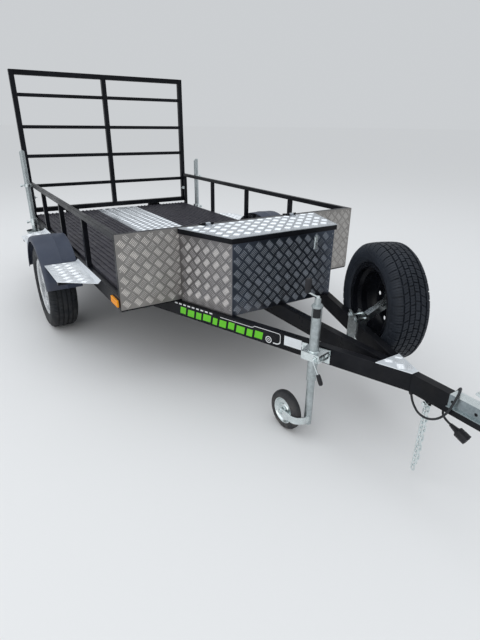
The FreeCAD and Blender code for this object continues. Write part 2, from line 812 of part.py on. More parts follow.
def jockey_fork():
    # Local +X is the way the wheel trails, +Y the side it hangs on. A flat bar bent round the
    # wheel's front carries it by a bolt from the outside
    t = jockey_arm_sheet
    post = rod((0, 0, 66.0), (0, 0, 1), jockey_inner_radius + 2.0, 83.0)
    spigot = rod((0, 0, 148.0), (0, 0, 1), 9.0, 42.0)
    inner = jockey_side + jockey_wheel_width / 2.0 + 6.0
    outer = inner + t
    z0 = jockey_wheel_radius - jockey_arm_height / 2.0
    plan = [(-16.0, 0), (-16.0, inner - 26.0), (-4.0, outer - 4.0), (10.0, outer), (jockey_trail, outer),
            (jockey_trail, inner), (12.0, inner), (2.0, inner - 4.0), (-8.0, inner - 28.0), (-8.0, 0)]
    arm = prism([(x, y, z0) for x, y in plan], (0, 0, jockey_arm_height))
    eye = rod((jockey_trail, inner, jockey_wheel_radius), (0, 1, 0), jockey_arm_height / 2.0, t)
    tail = jockey_side - jockey_wheel_width / 2.0 - 10.0
    axle = rod((jockey_trail, tail, jockey_wheel_radius), (0, 1, 0), jockey_axle_radius, outer + 8.0 - tail)
    head = rod((jockey_trail, outer, jockey_wheel_radius), (0, 1, 0), 13.0, 7.0)
    spacer = rod((jockey_trail, inner, jockey_wheel_radius), (0, -1, 0), 14.0, 5.0)
    nut = rod((jockey_trail, tail, jockey_wheel_radius), (0, 1, 0), 13.0, 9.0)
    shape = join([post, spigot, arm, eye, axle, head, spacer, nut])
    return [placed(shape, jockey_x, jockey_y, 0, jockey_heading)]


def jockey_ring(profile):
    # Profile points are (distance from the wheel's middle plane, radius)
    shape = facet_ring(profile, jockey_facets)
    shape.rotate(V(0, 0, 0), V(0, 0, 1), 90.0)
    shape.translate(V(jockey_trail, jockey_side, jockey_wheel_radius))
    return [placed(shape, jockey_x, jockey_y, 0, jockey_heading)]


def jockey_rim():
    half = jockey_wheel_width / 2.0
    bore = jockey_axle_radius + running_gap
    r = jockey_rim_radius
    return jockey_ring([(-half, bore), (half, bore), (half, 20.0), (6.0, 26.0), (6.0, r - 14.0),
                        (half - 4.0, r - 6.0), (half - 4.0, r), (4.0 - half, r), (4.0 - half, r - 6.0),
                        (-6.0, r - 14.0), (-6.0, 26.0), (-half, 20.0)])


def jockey_tyre():
    half = jockey_wheel_width / 2.0
    seat = jockey_rim_radius + running_gap
    r = jockey_wheel_radius
    return jockey_ring([(3.0 - half, seat), (half - 3.0, seat), (half, seat + 8.0), (half, r - 10.0),
                        (half - 9.0, r), (9.0 - half, r), (-half, r - 10.0), (-half, seat + 8.0)])


# Spare wheel on the right-hand beam, local +X away from the beam's outer face
spare_x = beam_outer_x(spare_reach)
spare_y = wall_y - spare_reach


def on_beam(shape):
    return placed(shape, spare_x, spare_y, 0, -beam_angle)


def spare_bracket():
    # Two plates clamped round the beam by long bolts, and a square arm up to the wheel's mounting plate
    low = beam_bottom - bracket_over
    high = beam_top + bracket_over
    t = bracket_plate
    half = bracket_half
    outer = box(0, t, -half, half, low, high)
    inner = prism([(-beam_width - t, -half, low), (-beam_width - t, half, low),
                   (-beam_width - t, half, high), (-beam_width - t, -half, high - half / 2.0)], (t, 0, 0))
    solids = [outer, inner]
    for z in (beam_top + bracket_over / 2.0, beam_bottom - bracket_over / 2.0):
        for y in (-bracket_bolt_y, bracket_bolt_y):
            solids.append(rod((-beam_width - t - bracket_bolt_end, y, z), (1, 0, 0), bracket_bolt_radius,
                              beam_width + 2.0 * t + 2.0 * bracket_bolt_end))
    tip = spare_standoff + spare_offset
    half_arm = bracket_arm / 2.0
    arm = prism([(0, -half_arm, beam_top - half_arm), (tip - t, -half_arm, spare_height - half_arm),
                 (tip - t, -half_arm, spare_height + half_arm), (0, -half_arm, beam_top + half_arm)],
                (0, bracket_arm, 0))
    pad = box(tip - t, tip, -half, half, spare_height - half, spare_height + half)
    return [on_beam(join(solids + [arm, pad]))]


def steel_rim():
    # Barrel with a dished disc; vent holes go round the dish
    reach = rim_seat_radius - 20.0 - rim_sheet / 2.0
    o = spare_offset
    dish = facet_ring([(o, 33.0), (o + 5.0, 33.0), (o + 5.0, 84.0), (o + 12.0, 100.0), (o + 8.0, 128.0),
                       (-4.0, reach), (-10.0, reach), (o + 2.0, 124.0), (o + 6.0, 100.0), (o, 86.0)],
                      wheel_facets)
    holes = []
    for i in range(vent_holes):
        hole = rod((o - 30.0, 0, vent_circle), (1, 0, 0), vent_radius, 60.0)
        hole.rotate(V(0, 0, 0), V(1, 0, 0), 360.0 * (i + 0.5) / vent_holes)
        holes.append(hole)
    return join([rim_barrel(), dish.cut(holes)])


def on_spare(shape):
    copy = shape.copy()
    copy.translate(V(spare_standoff, 0, spare_height))
    return [on_beam(copy)]


# Rear stands
stand_x = frame_half + stand_out
stand_y = wall_y + deck_length - stand_from_rear


def rear_stand(drop):
    # A thin tube with a slanted top and a dished foot, clamped at its own height
    z0 = stand_foot_bottom - drop
    z1 = stand_top - drop
    tube = rod((stand_x, stand_y, z0 + stand_wall), (0, 0, 1), stand_radius, z1 - z0 - stand_wall)
    pan = rod((stand_x, stand_y, z0), (0, 0, 1), stand_foot_radius, stand_foot_depth)
    hollow = rod((stand_x, stand_y, z0 + stand_wall), (0, 0, 1), stand_foot_radius - stand_wall,
                 stand_foot_depth)
    bore = rod((stand_x, stand_y, z0 + stand_foot_depth), (0, 0, 1), stand_radius - stand_wall, z1)
    x0 = stand_x - 2.0 * stand_radius
    back = stand_y + stand_radius + 1.0
    side = [(stand_y - stand_radius, z1), (back, z1 - 2.0 * stand_radius), (back, z1 + 1.0),
            (stand_y - stand_radius, z1 + 1.0)]
    wedge = prism([(x0, y, z) for y, z in side], (4.0 * stand_radius, 0, 0))
    return join([pan.cut(hollow), tube]).cut([bore, wedge])


def stand_clamps():
    # A long clamp on the side rail and a short one on the guard rail, each with a hand screw
    lower = frame_bottom + stand_lower_clamp_lift
    upper = guard_top - (guard_tube + stand_upper_clamp) / 2.0
    solids = []
    for z0, height in ((lower, stand_lower_clamp), (upper, stand_upper_clamp)):
        ring = rod((stand_x, stand_y, z0), (0, 0, 1), stand_radius + stand_clamp_wall, height)
        neck = box(frame_half, stand_x, stand_y - 20.0, stand_y + 20.0, z0, z0 + height)
        knob_z = z0 + height / 2.0
        screw = rod((stand_x + stand_radius, stand_y, knob_z), (1, 0, 0), stand_screw_radius, 22.0)
        knob = rod((stand_x + stand_radius + 20.0, stand_y, knob_z), (1, 0, 0), stand_knob_radius,
                   stand_knob_length)
        bore = rod((stand_x, stand_y, z0 - 1.0), (0, 0, 1), stand_radius + running_gap, height + 2.0)
        solids += both_sides(join([ring, neck, screw, knob]).cut(bore))
    return solids


# Safety chain under the centre beam
chain_hole_radius = 6.5
lug_half = 3.0
chain_hole_z = beam_bottom - 12.0


def chain_lug():
    low = chain_hole_z - chain_hole_radius - 3.5
    y = wall_y - chain_y
    plate = box(-lug_half, lug_half, y - 15.0, y + 15.0, low, beam_bottom)
    return plate.cut(rod((-beam_half, y, chain_hole_z), (1, 0, 0), chain_hole_radius, beam_width))


def chain_link():
    # A stadium of six-sided bar in the XZ plane about the origin, mitred at each bend
    straight = link_half_length - link_half_width
    path = []
    for sign in (1, -1):
        for i in range(link_bends + 1):
            turn = math.pi * i / link_bends
            path.append((sign * math.cos(turn), sign * math.sin(turn), sign * straight))
    mitre = 1.0 / math.cos(math.pi / link_bends / 2.0)
    sections = []
    for number, (across, up, lift) in enumerate(path):
        is_corner = number % (link_bends + 1) in (0, link_bends)
        grow = 1.0 if is_corner else mitre
        section = []
        for k in range(6):
            turn = math.pi * k / 3.0
            r = link_half_width + link_wire * math.cos(turn)
            section.append(V(r * across * grow, link_wire * math.sin(turn), lift + r * up * grow))
        sections.append(section)
    return through(sections)


def shackle_bow_z():
    return chain_hole_z - shackle_drop


def chain_shackle():
    # A wide bow on a long bolt through the lug
    y = wall_y - chain_y
    z = shackle_bow_z()
    bolt = rod((-shackle_bolt_end, y, chain_hole_z), (1, 0, 0), chain_hole_radius - running_gap,
               2.0 * shackle_bolt_end)
    solids = [bolt, rod((-shackle_half, y, z), (1, 0, 0), shackle_wire, 2.0 * shackle_half)]
    for x in (-shackle_half, shackle_half):
        way = 1 if x > 0 else -1
        solids.append(rod((x, y, z), (0, 0, 1), shackle_wire, shackle_drop))
        solids.append(Part.makeSphere(shackle_wire, V(x, y, z)))
        solids.append(rod((x - 4.0 * way, y, chain_hole_z), (way, 0, 0), chain_hole_radius + 4.0, 8.0))
        solids.append(rod((way * shackle_bolt_end, y, chain_hole_z), (-way, 0, 0), chain_hole_radius + 3.0,
                          7.0))
    return [join(solids)]


def safety_chain():
    half_bend = math.pi / link_bends / 2.0
    inner_end = link_half_length - link_half_width + (link_half_width - link_wire) / math.cos(half_bend)
    pitch = 2.0 * inner_end - link_gap
    top = shackle_bow_z() + shackle_wire / math.cos(half_bend) + link_gap - inner_end
    count = int((top - chain_end - link_half_length - link_wire) // pitch) + 1
    links = []
    for i in range(count):
        link = chain_link()
        if i % 2 == 0:
            link.rotate(V(0, 0, 0), V(0, 0, 1), 90.0)
        link.translate(V(0, wall_y - chain_y, top - i * pitch))
        links.append(link)
    return links


# Lead: a limp cord from the gland under the beam, once round the coupling, to its plug
lead_points = [(-8, -1190, 362), (-11, -1199, 343), (-20, -1221, 326), (-33, -1252, 316), (-38, -1290, 318),
               (-40, -1324, 335), (-42, -1352, 364), (-43, -1371, 400), (-43, -1381, 434), (-33, -1384, 462),
               (-10, -1379, 478), (16, -1366, 478), (37, -1350, 458), (43, -1334, 426), (40, -1320, 392),
               (30, -1313, 362), (17, -1318, 340), (8, -1338, 328), (10, -1362, 318)]


def round_path(points, share=0.45):
    # Straight runs joined by tangent arcs, each as large as its shorter run allows
    corners = [V(*p) for p in points]
    edges = []
    radii = []
    start = corners[0]
    for before, corner, after in zip(corners, corners[1:], corners[2:]):
        way_in = (corner - before).normalize()
        way_out = (after - corner).normalize()
        turn = way_in.getAngle(way_out)
        cut_back = share * min((corner - before).Length, (after - corner).Length)
        radius = cut_back / math.tan(turn / 2.0)
        radii.append(radius)
        arc_start = corner - way_in * cut_back
        arc_end = corner + way_out * cut_back
        inward = (way_out - way_in).normalize()
        middle = corner + inward * (radius / math.cos(turn / 2.0) - radius)
        edges.append(Part.LineSegment(start, arc_start).toShape())
        edges.append(Part.Arc(arc_start, middle, arc_end).toShape())
        start = arc_end
    edges.append(Part.LineSegment(start, corners[-1]).toShape())
    return Part.Wire(edges), radii


def lead_route():
    return [(x, wall_y + y, z) for x, y, z in lead_points]


def lead_cable():
    # The six-sided section has the round lead's own area
    route = lead_route()
    path, radii = round_path(route)
    start = V(*route[0])
    across = FreeCAD.Rotation(V(0, 0, 1), V(*route[1]) - start)
    area = math.pi * lead_radius ** 2
    corner_radius = math.sqrt(area / (3.0 * math.sin(math.pi / 3.0)))
    corners = []
    for k in range(6):
        turn = math.pi * k / 3.0
        corners.append(start + across.multVec(V(corner_radius * math.cos(turn),
                                                corner_radius * math.sin(turn), 0)))
    tube = path.makePipeShell([Part.makePolygon(corners + corners[:1])], True, False)
    expected = area * path.Length
    print("lead radii", [round(r) for r in radii], "length", round(path.Length),
          "volume ratio", round(tube.Volume / expected, 3))
    return [tube]


def cable_gland():
    first, second = [V(*p) for p in lead_route()[:2]]
    way = (first - second).normalize()
    height = (beam_bottom - first.z) / way.z
    gland = Part.makeCylinder(9.0, height + 14.0, first, way)
    return [gland.cut(box(-40, 40, wall_y - 1300, wall_y - 1100, beam_bottom, beam_bottom + 60))]


def lead_plug():
    last, end = [V(*p) for p in lead_route()[-2:]]
    way = (end - last).normalize()
    sleeve = Part.makeCone(lead_radius + 3.0, 12.0, 30.0, end, way)
    body = Part.makeCylinder(plug_radius, plug_length - 30.0, end + way * 30.0, way)
    neck = Part.makeCone(12.0, plug_radius, 14.0, end + way * 20.0, way)
    return [join([sleeve, neck, body])]


os.makedirs("parts", exist_ok=True)

export("side_rails", side_rails())
export("cross_members", cross_members())
export("deck_boards", deck_boards())
export("deck_strip", deck_strip())
export("front_wall", front_wall())
export("guard_rails", guard_rails())
export("guard_posts", guard_posts())
export("drawbar_v_beams", drawbar_v_beams())
export("drawbar_centre_beam", drawbar_centre_beam())
export("drawbar_gusset", drawbar_gusset())
export("coupling_head", coupling_head())
export("coupling_handle", coupling_handle())
export("toolbox_body", toolbox_body())
export("toolbox_latch", toolbox_latch())
export("lid_frame", lid_frame())
export("lid_plate", lid_plate())
export("lid_hinges", lid_hinges())
export("axle_beam", axle_beam())
export("axle_arms", axle_arms())
export("fender_brackets", fender_brackets())
export("step_plates", step_plates())
export("side_markers", side_markers())
export("rear_lamps", rear_lamps())
export("gate_uprights", gate_uprights())
export("gate_bars", gate_bars())
export("gate_hinges", gate_hinges())
export("gate_latches", gate_latches())
export("stand_clamps", stand_clamps())
for node, shape in (("tyre", road_tyre()), ("rim", alloy_rim()), ("hub", hub())):
    export(node + "_right", [on_axle(shape)])
    export(node + "_left", [mirrored(on_axle(shape))])
export("fender_right", [fender()])
export("fender_left", [mirrored(fender())])
export("rear_stand_right", [rear_stand(stand_right_drop)])
export("rear_stand_left", [mirrored(rear_stand(0))])
export("spare_bracket", spare_bracket())
export("spare_rim", on_spare(steel_rim()))
export("spare_tyre", on_spare(road_tyre()))
export("jockey_clamp", jockey_clamp())
export("jockey_outer_tube", jockey_outer_tube())
export("jockey_crank", jockey_crank())
export("jockey_inner_tube", jockey_inner_tube())
export("jockey_fork", jockey_fork())
export("jockey_rim", jockey_rim())
export("jockey_tyre", jockey_tyre())
export("chain_shackle", chain_shackle())
export("safety_chain", safety_chain())
export("lead_cable", lead_cable())
export("lead_plug", lead_plug())
export("cable_gland", cable_gland())

total = 0.0
for name, shape in nodes.items():
    box_now = shape.BoundBox
    total += shape.Volume
    if not shape.isValid() or any(s.Volume <= 0 for s in shape.Solids):
        print("check", name)
    print(name, len(shape.Solids), [round(v, 1) for v in (box_now.XMin, box_now.XMax, box_now.YMin, box_now.YMax,
                                                          box_now.ZMin, box_now.ZMax)])
print("solid volume m3", round(total / 1e9, 4), "wall_y", wall_y, "gate axis", gate_y1, gate_axis_z)
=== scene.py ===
# %% [markdown]
# An open utility trailer
# The packed model holds every piece at its real size, and each piece already rides on its body.
# This script gives those pieces rounded edges, pressed relief, treads, finishes and a studio.
# It works in metres, with the coupling towards -Y, the ramp gate towards +Y and the ground at z = 0.

import bmesh
import bpy
import json
import math
from mathutils import Matrix, Vector


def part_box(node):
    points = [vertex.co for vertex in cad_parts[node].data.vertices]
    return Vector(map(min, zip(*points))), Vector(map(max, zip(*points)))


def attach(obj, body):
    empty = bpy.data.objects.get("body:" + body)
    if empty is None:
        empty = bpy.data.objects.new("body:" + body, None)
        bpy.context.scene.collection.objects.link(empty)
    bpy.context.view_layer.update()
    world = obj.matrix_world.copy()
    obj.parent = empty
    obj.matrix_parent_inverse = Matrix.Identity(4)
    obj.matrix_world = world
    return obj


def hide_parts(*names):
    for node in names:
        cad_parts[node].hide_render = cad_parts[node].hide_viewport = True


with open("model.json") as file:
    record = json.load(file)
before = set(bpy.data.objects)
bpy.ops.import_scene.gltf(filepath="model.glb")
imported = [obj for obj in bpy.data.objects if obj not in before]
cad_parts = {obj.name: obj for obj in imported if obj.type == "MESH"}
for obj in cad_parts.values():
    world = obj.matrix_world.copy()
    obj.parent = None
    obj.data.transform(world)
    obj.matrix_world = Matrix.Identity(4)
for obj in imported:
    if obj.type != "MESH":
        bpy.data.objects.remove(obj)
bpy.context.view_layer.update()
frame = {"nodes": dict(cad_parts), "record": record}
bodies = frame["record"]["behaviour"]["bodies"]
home = {node: body for body, members in bodies.items() for node in members}
slot_of = {part["node"]: part["material_slot"] for part in frame["record"]["subparts"]}

# %% [markdown]
# The camera comes first, so that each later cell can be judged from where the picture was taken.
# It stands beside the drawbar on the -X side, at about chest height, and looks down over the bed.
# In all names, left is the -X side and right is the +X side.
# Its place comes from matching known corners of the trailer to where they lie in the picture.

# %% Camera
camera_place = Vector((-1.410, -2.522, 1.347))
camera_yaw, camera_pitch, camera_roll = math.radians(-32.70), math.radians(-23.76), math.radians(0.70)
focal_pixels, picture_height = 445.8, 640.0

camera_data = bpy.data.cameras.new("camera")
camera_data.sensor_fit = "VERTICAL"
camera_data.sensor_height = 36.0
camera_data.lens = camera_data.sensor_height * focal_pixels / picture_height
camera_data.clip_start = 0.02
camera = bpy.data.objects.new("camera", camera_data)
bpy.context.scene.collection.objects.link(camera)
turn = Matrix.Rotation(camera_yaw, 4, "Z") @ Matrix.Rotation(math.pi / 2 + camera_pitch, 4, "X")
camera.matrix_world = Matrix.Translation(camera_place) @ turn @ Matrix.Rotation(camera_roll, 4, "Z")
bpy.context.scene.camera = camera
print("lens", round(camera_data.lens, 2), "mm")

# %% [markdown]
# Several finishes share the same small effects: blotches of colour, roughness that drifts,
# a fine surface relief, dirt that gathers low down, and thin scratches.
# Each effect is one node group with named inputs, so every material places it with its own values.

# %% Helpers for node groups
def new_group(name, inputs, outputs):
    group = bpy.data.node_groups.new(name, "ShaderNodeTree")
    for label, kind, value in inputs:
        group.interface.new_socket(label, in_out="INPUT", socket_type=kind).default_value = value
    for label, kind in outputs:
        group.interface.new_socket(label, in_out="OUTPUT", socket_type=kind)
    return group, group.nodes.new("NodeGroupInput"), group.nodes.new("NodeGroupOutput")


def add_node(tree, kind, links=(), **settings):
    # links are (source socket, name or number of the input)
    node = tree.nodes.new(kind)
    for key, value in settings.items():
        if key.startswith("in_"):
            node.inputs[key[3:].replace("_", " ")].default_value = value
        else:
            setattr(node, key, value)
    for source, target in links:
        tree.links.new(source, node.inputs[target])
    return node


def surface_point(tree, stretch=(1.0, 1.0, 1.0)):
    place = tree.nodes.new("ShaderNodeTexCoord")
    mapping = add_node(tree, "ShaderNodeMapping", [(place.outputs["Object"], "Vector")])
    mapping.inputs["Scale"].default_value = stretch
    return mapping.outputs["Vector"]


def noise_node(group, start, detail, roughness, stretch=(1.0, 1.0, 1.0)):
    return add_node(group, "ShaderNodeTexNoise",
                    [(surface_point(group, stretch), "Vector"), (start.outputs["Scale"], "Scale")],
                    in_Detail=detail, in_Roughness=roughness)


FLOAT, COLOR = "NodeSocketFloat", "NodeSocketColor"
print("socket kinds", FLOAT, COLOR)

# %% [markdown]
# Painted and rolled surfaces are never one flat colour: wear and weather leave soft blotches.
# They could be a painted picture, but that needs an unwrapped surface. Here noise picks between
# two colours, and its balance and softness are inputs, so one group serves paint, metal and rubber.

# %% Blotches of two colours
def make_mottle():
    group, start, end = new_group(
        "mottle",
        [("Scale", FLOAT, 12.0), ("Balance", FLOAT, 0.5), ("Softness", FLOAT, 0.2),
         ("First", COLOR, (0.1, 0.1, 0.1, 1)), ("Second", COLOR, (0.2, 0.2, 0.2, 1))],
        [("Color", COLOR), ("Mask", FLOAT)])
    noise = noise_node(group, start, 6.0, 0.62)
    low = add_node(group, "ShaderNodeMath", [(start.outputs["Balance"], 0), (start.outputs["Softness"], 1)],
                   operation="SUBTRACT")
    high = add_node(group, "ShaderNodeMath", [(start.outputs["Balance"], 0), (start.outputs["Softness"], 1)],
                    operation="ADD")
    mask = add_node(group, "ShaderNodeMapRange",
                    [(noise.outputs["Fac"], "Value"), (low.outputs[0], "From Min"),
                     (high.outputs[0], "From Max")])
    mix = add_node(group, "ShaderNodeMix", data_type="RGBA")
    group.links.new(mask.outputs["Result"], mix.inputs[0])
    group.links.new(start.outputs["First"], mix.inputs[6])
    group.links.new(start.outputs["Second"], mix.inputs[7])
    group.links.new(mix.outputs[2], end.inputs["Color"])
    group.links.new(mask.outputs["Result"], end.inputs["Mask"])
    return group


mottle = make_mottle()
print("group", mottle.name, "has", len(mottle.nodes), "nodes")

# %% [markdown]
# A real surface is smoother where rain and hands have polished it and duller where dust sits.
# One fixed roughness would look like plastic, so a slow noise moves it between two given values.

# %% Roughness that drifts over the surface
def make_drift():
    group, start, end = new_group(
        "roughness_drift",
        [("Scale", FLOAT, 8.0), ("Lowest", FLOAT, 0.3), ("Highest", FLOAT, 0.5)],
        [("Roughness", FLOAT)])
    noise = noise_node(group, start, 4.0, 0.7)
    result = add_node(group, "ShaderNodeMapRange",
                      [(noise.outputs["Fac"], "Value"), (start.outputs["Lowest"], "To Min"),
                       (start.outputs["Highest"], "To Max")], in_From_Min=0.3, in_From_Max=0.7)
    group.links.new(result.outputs["Result"], end.inputs["Roughness"])
    return group


drift = make_drift()
print("group", drift.name, "has", len(drift.nodes), "nodes")

# %% [markdown]
# Seen close, paint has orange peel and moulded plastic has a grain, both far too fine to model.
# A bump from fine noise bends the light instead. Its depth is in metres, as on the real surface.

# %% Fine relief, such as orange peel in paint or the grain of moulded plastic
def make_relief():
    group, start, end = new_group(
        "fine_relief",
        [("Scale", FLOAT, 300.0), ("Strength", FLOAT, 0.2), ("Depth", FLOAT, 0.0005)],
        [("Normal", "NodeSocketVector")])
    noise = noise_node(group, start, 3.0, 0.55)
    bump = add_node(group, "ShaderNodeBump",
                    [(noise.outputs["Fac"], "Height"), (start.outputs["Strength"], "Strength"),
                     (start.outputs["Depth"], "Distance")])
    group.links.new(bump.outputs["Normal"], end.inputs["Normal"])
    return group


relief = make_relief()
print("group", relief.name, "has", len(relief.nodes), "nodes")

# %% [markdown]
# Road dirt is thrown up from the ground, so it lies thick low down and thins out with height.
# The mask is a ramp along Z times a patchy noise. It could be painted on the vertices by hand,
# but a later change of the mesh would lose that.

# %% Road dirt that thins out with height
def make_grime():
    group, start, end = new_group(
        "road_grime",
        [("Height", FLOAT, 0.3), ("Fade", FLOAT, 0.25), ("Scale", FLOAT, 14.0), ("Amount", FLOAT, 0.6)],
        [("Mask", FLOAT)])
    place = group.nodes.new("ShaderNodeTexCoord")
    split = add_node(group, "ShaderNodeSeparateXYZ", [(place.outputs["Object"], "Vector")])
    over = add_node(group, "ShaderNodeMath", [(start.outputs["Height"], 0), (start.outputs["Fade"], 1)],
                    operation="ADD")
    low = add_node(group, "ShaderNodeMapRange",
                   [(split.outputs["Z"], "Value"), (start.outputs["Height"], "From Min"),
                    (over.outputs[0], "From Max")], in_To_Min=1.0, in_To_Max=0.0)
    noise = noise_node(group, start, 7.0, 0.7)
    patch = add_node(group, "ShaderNodeMapRange", [(noise.outputs["Fac"], "Value")],
                     in_From_Min=0.42, in_From_Max=0.66)
    both = add_node(group, "ShaderNodeMath", [(low.outputs["Result"], 0), (patch.outputs["Result"], 1)],
                    operation="MULTIPLY")
    final = add_node(group, "ShaderNodeMath", [(both.outputs[0], 0), (start.outputs["Amount"], 1)],
                     operation="MULTIPLY")
    group.links.new(final.outputs[0], end.inputs["Mask"])
    return group


grime = make_grime()
print("group", grime.name, "has", len(grime.nodes), "nodes")

# %% [markdown]
# Loads that are dragged in and out leave thin scratches along the trailer and across it.
# Two noises, each stretched along one direction, are cut to a narrow band and joined.

# %% Thin scratches and rub marks
def make_scratches():
    group, start, end = new_group(
        "scratches",
        [("Scale", FLOAT, 30.0), ("Amount", FLOAT, 0.5)], [("Mask", FLOAT)])
    masks = []
    for stretch in ((1.0, 0.12, 0.25), (0.15, 1.0, 0.3)):
        noise = noise_node(group, start, 8.0, 0.8, stretch)
        line = add_node(group, "ShaderNodeMapRange", [(noise.outputs["Fac"], "Value")],
                        in_From_Min=0.66, in_From_Max=0.70)
        masks.append(line.outputs["Result"])
    either = add_node(group, "ShaderNodeMath", [(masks[0], 0), (masks[1], 1)], operation="MAXIMUM")
    final = add_node(group, "ShaderNodeMath", [(either.outputs[0], 0), (start.outputs["Amount"], 1)],
                     operation="MULTIPLY")
    group.links.new(final.outputs[0], end.inputs["Mask"])
    return group


scratches = make_scratches()
print("group", scratches.name, "has", len(scratches.nodes), "nodes")

# %% [markdown]
# Most finishes differ only in colour, roughness and metal, so one helper makes the material and
# hands back its node tree and its shader. The second places a node group with its values, the third
# gives a surface its roughness and relief, and the last mixes two colours by a mask.

# %% Helpers for materials
def finish(name, colour, roughness, metallic=0.0, **sockets):
    material = bpy.data.materials.new(name)
    material.use_nodes = True
    shader = material.node_tree.nodes["Principled BSDF"]
    shader.inputs["Base Color"].default_value = (*colour, 1.0)
    shader.inputs["Roughness"].default_value = roughness
    shader.inputs["Metallic"].default_value = metallic
    for label, value in sockets.items():
        shader.inputs[label.replace("_", " ")].default_value = value
    return material, material.node_tree, shader


def place_group(tree, group, **values):
    node = tree.nodes.new("ShaderNodeGroup")
    node.node_tree = group
    for label, value in values.items():
        node.inputs[label].default_value = (*value, 1.0) if isinstance(value, tuple) else value
    return node


def surface(tree, shader, drift_scale, roughness, grain_scale, strength, depth):
    # Drifting roughness between two values, and a fine relief
    rough = place_group(tree, drift, Scale=drift_scale, Lowest=roughness[0], Highest=roughness[1])
    tree.links.new(rough.outputs["Roughness"], shader.inputs["Roughness"])
    grain = place_group(tree, relief, Scale=grain_scale, Strength=strength, Depth=depth)
    tree.links.new(grain.outputs["Normal"], shader.inputs["Normal"])


def mix_colours(tree, mask, first, second):
    # first and second are sockets or plain colours
    mix = add_node(tree, "ShaderNodeMix", data_type="RGBA")
    tree.links.new(mask, mix.inputs[0])
    for number, source in ((6, first), (7, second)):
        if isinstance(source, tuple):
            mix.inputs[number].default_value = (*source, 1.0)
        else:
            tree.links.new(source, mix.inputs[number])
    return mix.outputs[2]


print("material helpers", [helper.__name__ for helper in (finish, place_group, surface, mix_colours)])

# %% [markdown]
# The frame, gate, drawbar and lid frame are welded from square tube and painted satin black.
# The paint is nearly black with a blue cast where it mirrors the sky, a slight orange peel,
# and a film of pale dust. Two mottles and a drifting roughness carry that.

# %% Black paint
def black_paint(name, dust_height, roughness=(0.24, 0.42)):
    material, tree, shader = finish(name, (0.005, 0.006, 0.008), 0.3, IOR=1.5, Specular_IOR_Level=0.15)
    body = place_group(tree, mottle, Scale=5.0, Balance=0.52, Softness=0.2,
                       First=(0.003, 0.0035, 0.005), Second=(0.009, 0.010, 0.014))
    dust = place_group(tree, grime, Height=dust_height, Fade=0.35, Scale=9.0, Amount=0.08)
    rub = place_group(tree, scratches, Scale=26.0, Amount=0.14)
    dusty = mix_colours(tree, dust.outputs["Mask"], body.outputs["Color"], (0.10, 0.09, 0.08))
    tree.links.new(mix_colours(tree, rub.outputs["Mask"], dusty, (0.10, 0.11, 0.13)),
                   shader.inputs["Base Color"])
    surface(tree, shader, 7.0, roughness, 420.0, 0.12, 0.0004)
    return material


frame_black = black_paint("frame_black_paint", 0.35)
steel_black = black_paint("wheel_black_paint", 0.1, (0.2, 0.35))
print("paints", frame_black.name, steel_black.name)

# %% [markdown]
# The head board, tool box, lid, steps and deck strip are five-bar aluminium chequer plate.
# The bars are real geometry further down; the finish is a bright metal that has dulled in patches,
# with stains that darken it, fine scratches and a roughness that varies.
# Its colour also holds painted light: each sheet gets its own copy by how the light falls on it, with
# painted sky light on the tops (lid, deck strip, steps, nose plate), darker walls, painted shade on the
# tool box front, and bars lighter than their plate as painted highlight.

# %% Chequer plate aluminium
def plate_metal(name, bright, dull, dirt_height, roughness, metallic=1.0):
    material, tree, shader = finish(name, bright, 0.3, metallic=metallic)
    tone = place_group(tree, mottle, Scale=7.0, Balance=0.5, Softness=0.22, First=bright, Second=dull)
    dirt = place_group(tree, grime, Height=dirt_height, Fade=0.3, Scale=11.0, Amount=0.5)
    rub = place_group(tree, scratches, Scale=34.0, Amount=0.4)
    stained = mix_colours(tree, dirt.outputs["Mask"], tone.outputs["Color"], (0.22, 0.19, 0.165))
    tree.links.new(mix_colours(tree, rub.outputs["Mask"], stained, (0.86, 0.87, 0.88)),
                   shader.inputs["Base Color"])
    surface(tree, shader, 13.0, roughness, 260.0, 0.18, 0.0004)
    return material


# Painted light: one aluminium in copies by the light on each face; tops painted lit, walls darker, the tool
# box front in painted shade, each plate's bars lighter as painted highlight.
plate_wall = plate_metal("head_board_aluminium", (0.34, 0.325, 0.31), (0.24, 0.23, 0.22), 0.35, (0.3, 0.46))
bars_wall = plate_metal("head_board_bars", (0.66, 0.635, 0.61), (0.52, 0.50, 0.48), 0.3, (0.26, 0.4))
plate_box = plate_metal("tool_box_aluminium", (0.26, 0.25, 0.25), (0.19, 0.185, 0.19), 0.35, (0.28, 0.42))
bars_box = plate_metal("tool_box_bars", (0.58, 0.56, 0.55), (0.45, 0.44, 0.44), 0.3, (0.26, 0.4))
plate_shade = plate_metal("tool_box_front_aluminium", (0.085, 0.10, 0.13), (0.055, 0.065, 0.085), 0.35,
                          (0.26, 0.4))
bars_shade = plate_metal("tool_box_front_bars", (0.34, 0.37, 0.42), (0.24, 0.265, 0.30), 0.3, (0.24, 0.38))
plate_painted_lit = plate_metal("top_aluminium_painted_lit", (0.60, 0.64, 0.68), (0.48, 0.51, 0.55), 0.2, (0.28, 0.42))
bars_painted_lit = plate_metal("bright_bars_painted_lit", (0.90, 0.93, 0.96), (0.80, 0.83, 0.86), 0.2, (0.24, 0.38))
step_plate_painted_lit = plate_metal("step_aluminium_painted_lit", (0.88, 0.92, 0.96), (0.78, 0.82, 0.86), 0.0, (0.3, 0.44), 0.45)
step_bars_painted_lit = plate_metal("step_bars", (0.97, 0.98, 1.0), (0.90, 0.93, 0.96), 0.0, (0.22, 0.36), 0.6)
print("plates", [metal.name for metal in (plate_wall, plate_box, plate_shade, plate_painted_lit, step_plate_painted_lit)])

# %% [markdown]
# The coupling, jockey wheel, stands, spare bracket and chain are zinc plated.
# Fresh zinc is a cool grey-green metal. Cells of a Voronoi texture give it the faint spangle
# of a hot dip, and the drifting roughness makes its reflections break up.

